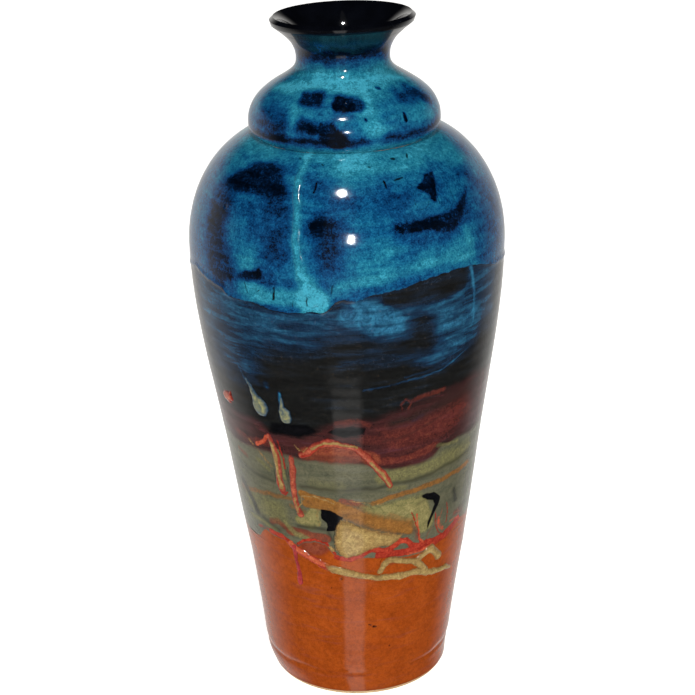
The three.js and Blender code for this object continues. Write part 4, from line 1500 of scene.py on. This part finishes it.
def pale_card():
    material = new_material("pale_card")
    tree = material.node_tree
    place = add_node(tree, "ShaderNodeTexCoord").outputs["Object"]
    fibre = add_node(tree, "ShaderNodeTexNoise", {"Vector": place, "Scale": 300.0}).outputs["Fac"]
    colour = add_node(tree, "ShaderNodeMix", {0: fibre, 6: linear("#f4f3f1"), 7: linear("#fbfaf8")},
                      data_type="RGBA").outputs[2]
    shader = add_node(tree, "ShaderNodeBsdfPrincipled", {
        "Base Color": colour, "Roughness": 0.9, "Emission Color": colour, "Emission Strength": TABLE_GLOW,
    })
    add_node(tree, "ShaderNodeOutputMaterial", {"Surface": shader.outputs["BSDF"]})
    return material


deselect()
bpy.ops.mesh.primitive_plane_add(size=TABLE_SIZE, location=(0, 1.5, 0))
table = bpy.context.object
table.name = "table"
table.data.materials.append(pale_card())
table.visible_glossy = False
print("table", TABLE_SIZE, "m wide")

# %% [markdown]
# The surroundings decide how the gloss looks. A world that depends on direction does this with no object
# that could get into the view. It is bright from the sides round to the back, low down, which gives the
# edges of the vase their pale rims, and it fades out above.

# %% Sides and back
BRIGHT = 0.74
DARK = 0.04
BRIGHTEST_WAY = (-0.2, 0.98, 0)


def sides_and_back(tree, level, up):
    """Bright round the back, and fading out above."""
    behind = add_node(tree, "ShaderNodeVectorMath", {0: level, 1: BRIGHTEST_WAY}, operation="DOT_PRODUCT")
    glow = add_node(tree, "ShaderNodeMapRange", {
        "Value": behind.outputs["Value"], "From Min": 0.05, "From Max": 0.95,
        "To Min": DARK, "To Max": BRIGHT,
    }, interpolation_type="SMOOTHSTEP").outputs["Result"]
    low = add_node(tree, "ShaderNodeMapRange", {
        "Value": up, "From Min": 0.1, "From Max": 0.4, "To Min": 1.0, "To Max": 0.0,
    }, interpolation_type="SMOOTHSTEP").outputs["Result"]
    return add_node(tree, "ShaderNodeMath", {0: glow, 1: low}, operation="MULTIPLY").outputs[0]


print("brightness from", DARK, "to", BRIGHT)

# %% [markdown]
# In front the surroundings are dark, apart from one narrow stripe near the ground. The vase shows it as a
# pale line that runs up the middle of the terracotta.

# %% Front stripe
STRIPE_LEFT = -0.32
STRIPE_RIGHT = 0.13
STRIPE_SOFT = 0.04


def front_stripe(tree, level, up):
    """A stripe in front, bright only where it is steeply below."""
    across = add_node(tree, "ShaderNodeSeparateXYZ", {"Vector": level})
    stripe = add_node(tree, "ShaderNodeMapRange", {
        "Value": up, "From Min": -0.62, "From Max": -0.72, "To Min": 0.09, "To Max": 0.95,
    }).outputs["Result"]
    sides = ((STRIPE_LEFT - STRIPE_SOFT, STRIPE_LEFT + STRIPE_SOFT),
             (STRIPE_RIGHT + STRIPE_SOFT, STRIPE_RIGHT - STRIPE_SOFT))
    for outer_x, inner_x in sides:
        side = add_node(tree, "ShaderNodeMapRange", {
            "Value": across.outputs["X"], "From Min": outer_x, "From Max": inner_x,
        }).outputs["Result"]
        stripe = add_node(tree, "ShaderNodeMath", {0: stripe, 1: side}, operation="MULTIPLY").outputs[0]
    front = add_node(tree, "ShaderNodeMath", {0: across.outputs["Y"], 1: 0.0}, operation="LESS_THAN")
    return add_node(tree, "ShaderNodeMath", {0: stripe, 1: front.outputs[0]}, operation="MULTIPLY").outputs[0]


print("stripe from", STRIPE_LEFT, "to", STRIPE_RIGHT)

# %% [markdown]
# The gloss and the light see the sum of the two. What the camera sees straight on stays plain and pale, like
# a paper backdrop.

# %% Surroundings
def surroundings():
    world = bpy.data.worlds.new("studio")
    world.use_nodes = True
    tree = world.node_tree
    tree.nodes.clear()
    way = add_node(tree, "ShaderNodeTexCoord").outputs["Generated"]
    up = add_node(tree, "ShaderNodeSeparateXYZ", {"Vector": way}).outputs["Z"]
    level = add_node(tree, "ShaderNodeVectorMath", {0: way, 1: (1, 1, 0)}, operation="MULTIPLY")
    level = add_node(tree, "ShaderNodeVectorMath", {0: level.outputs["Vector"]}, operation="NORMALIZE")
    level = level.outputs["Vector"]
    glow = add_node(tree, "ShaderNodeMath", {
        0: sides_and_back(tree, level, up), 1: front_stripe(tree, level, up),
    }, operation="ADD").outputs[0]
    seen = add_node(tree, "ShaderNodeBackground", {"Color": linear("#fdfdfc"), "Strength": 1.0})
    around = add_node(tree, "ShaderNodeBackground", {"Color": linear("#fdfbf7"), "Strength": glow})
    straight = add_node(tree, "ShaderNodeLightPath").outputs["Is Camera Ray"]
    both = add_node(tree, "ShaderNodeMixShader", {
        0: straight, 1: around.outputs["Background"], 2: seen.outputs["Background"],
    }).outputs["Shader"]
    add_node(tree, "ShaderNodeOutputWorld", {"Surface": both})
    return world


bpy.context.scene.world = surroundings()
bpy.context.scene.view_settings.view_transform = "Standard"
print("world", len(bpy.context.scene.world.node_tree.nodes), "nodes")

# %% [markdown]
# Two small round lamps near the camera make the two sharp highlights and light the front. The wide soft
# panels only fill the shadows and wash the card behind, so they don't show in the gloss. Each lamp is set
# by its angle to the right of the front, its angle up, its distance, its size and its power.

# %% Lamps
VASE_MIDDLE = (0, 0, 0.2)
CARD_BEHIND = (0, 1.6, 0)
LAMPS = [
    ("flash", 3, 22, 1.25, 0.05, 6, VASE_MIDDLE),
    ("upper_lamp", -4, 63, 1.0, 0.06, 3.2, VASE_MIDDLE),
]
PANELS = [
    ("soft_panel", 0, 80, 1.6, 1.6, 7, VASE_MIDDLE),
    ("back_wash", 180, 50, 2.2, 2.0, 20, CARD_BEHIND),
    ("left_fill", -60, 25, 1.5, 1.0, 5, VASE_MIDDLE),
    ("right_fill", 60, 25, 1.5, 1.0, 5, VASE_MIDDLE),
]


def lamp(name, azimuth, elevation, distance, size, watts, aim):
    a, e = math.radians(azimuth), math.radians(elevation)
    way = Vector((math.sin(a) * math.cos(e), -math.cos(a) * math.cos(e), math.sin(e)))
    bpy.ops.object.light_add(type="AREA", location=Vector(aim) + way * distance)
    made = bpy.context.object
    made.name = name
    made.data.shape = "DISK"
    made.data.size = size
    made.data.energy = watts
    made.rotation_euler = (-way).to_track_quat("-Z", "Y").to_euler()
    made.visible_camera = False
    return made


for row in LAMPS:
    lamp(*row)
for row in PANELS:
    lamp(*row).visible_glossy = False
print(len(LAMPS), "lamps and", len(PANELS), "panels")
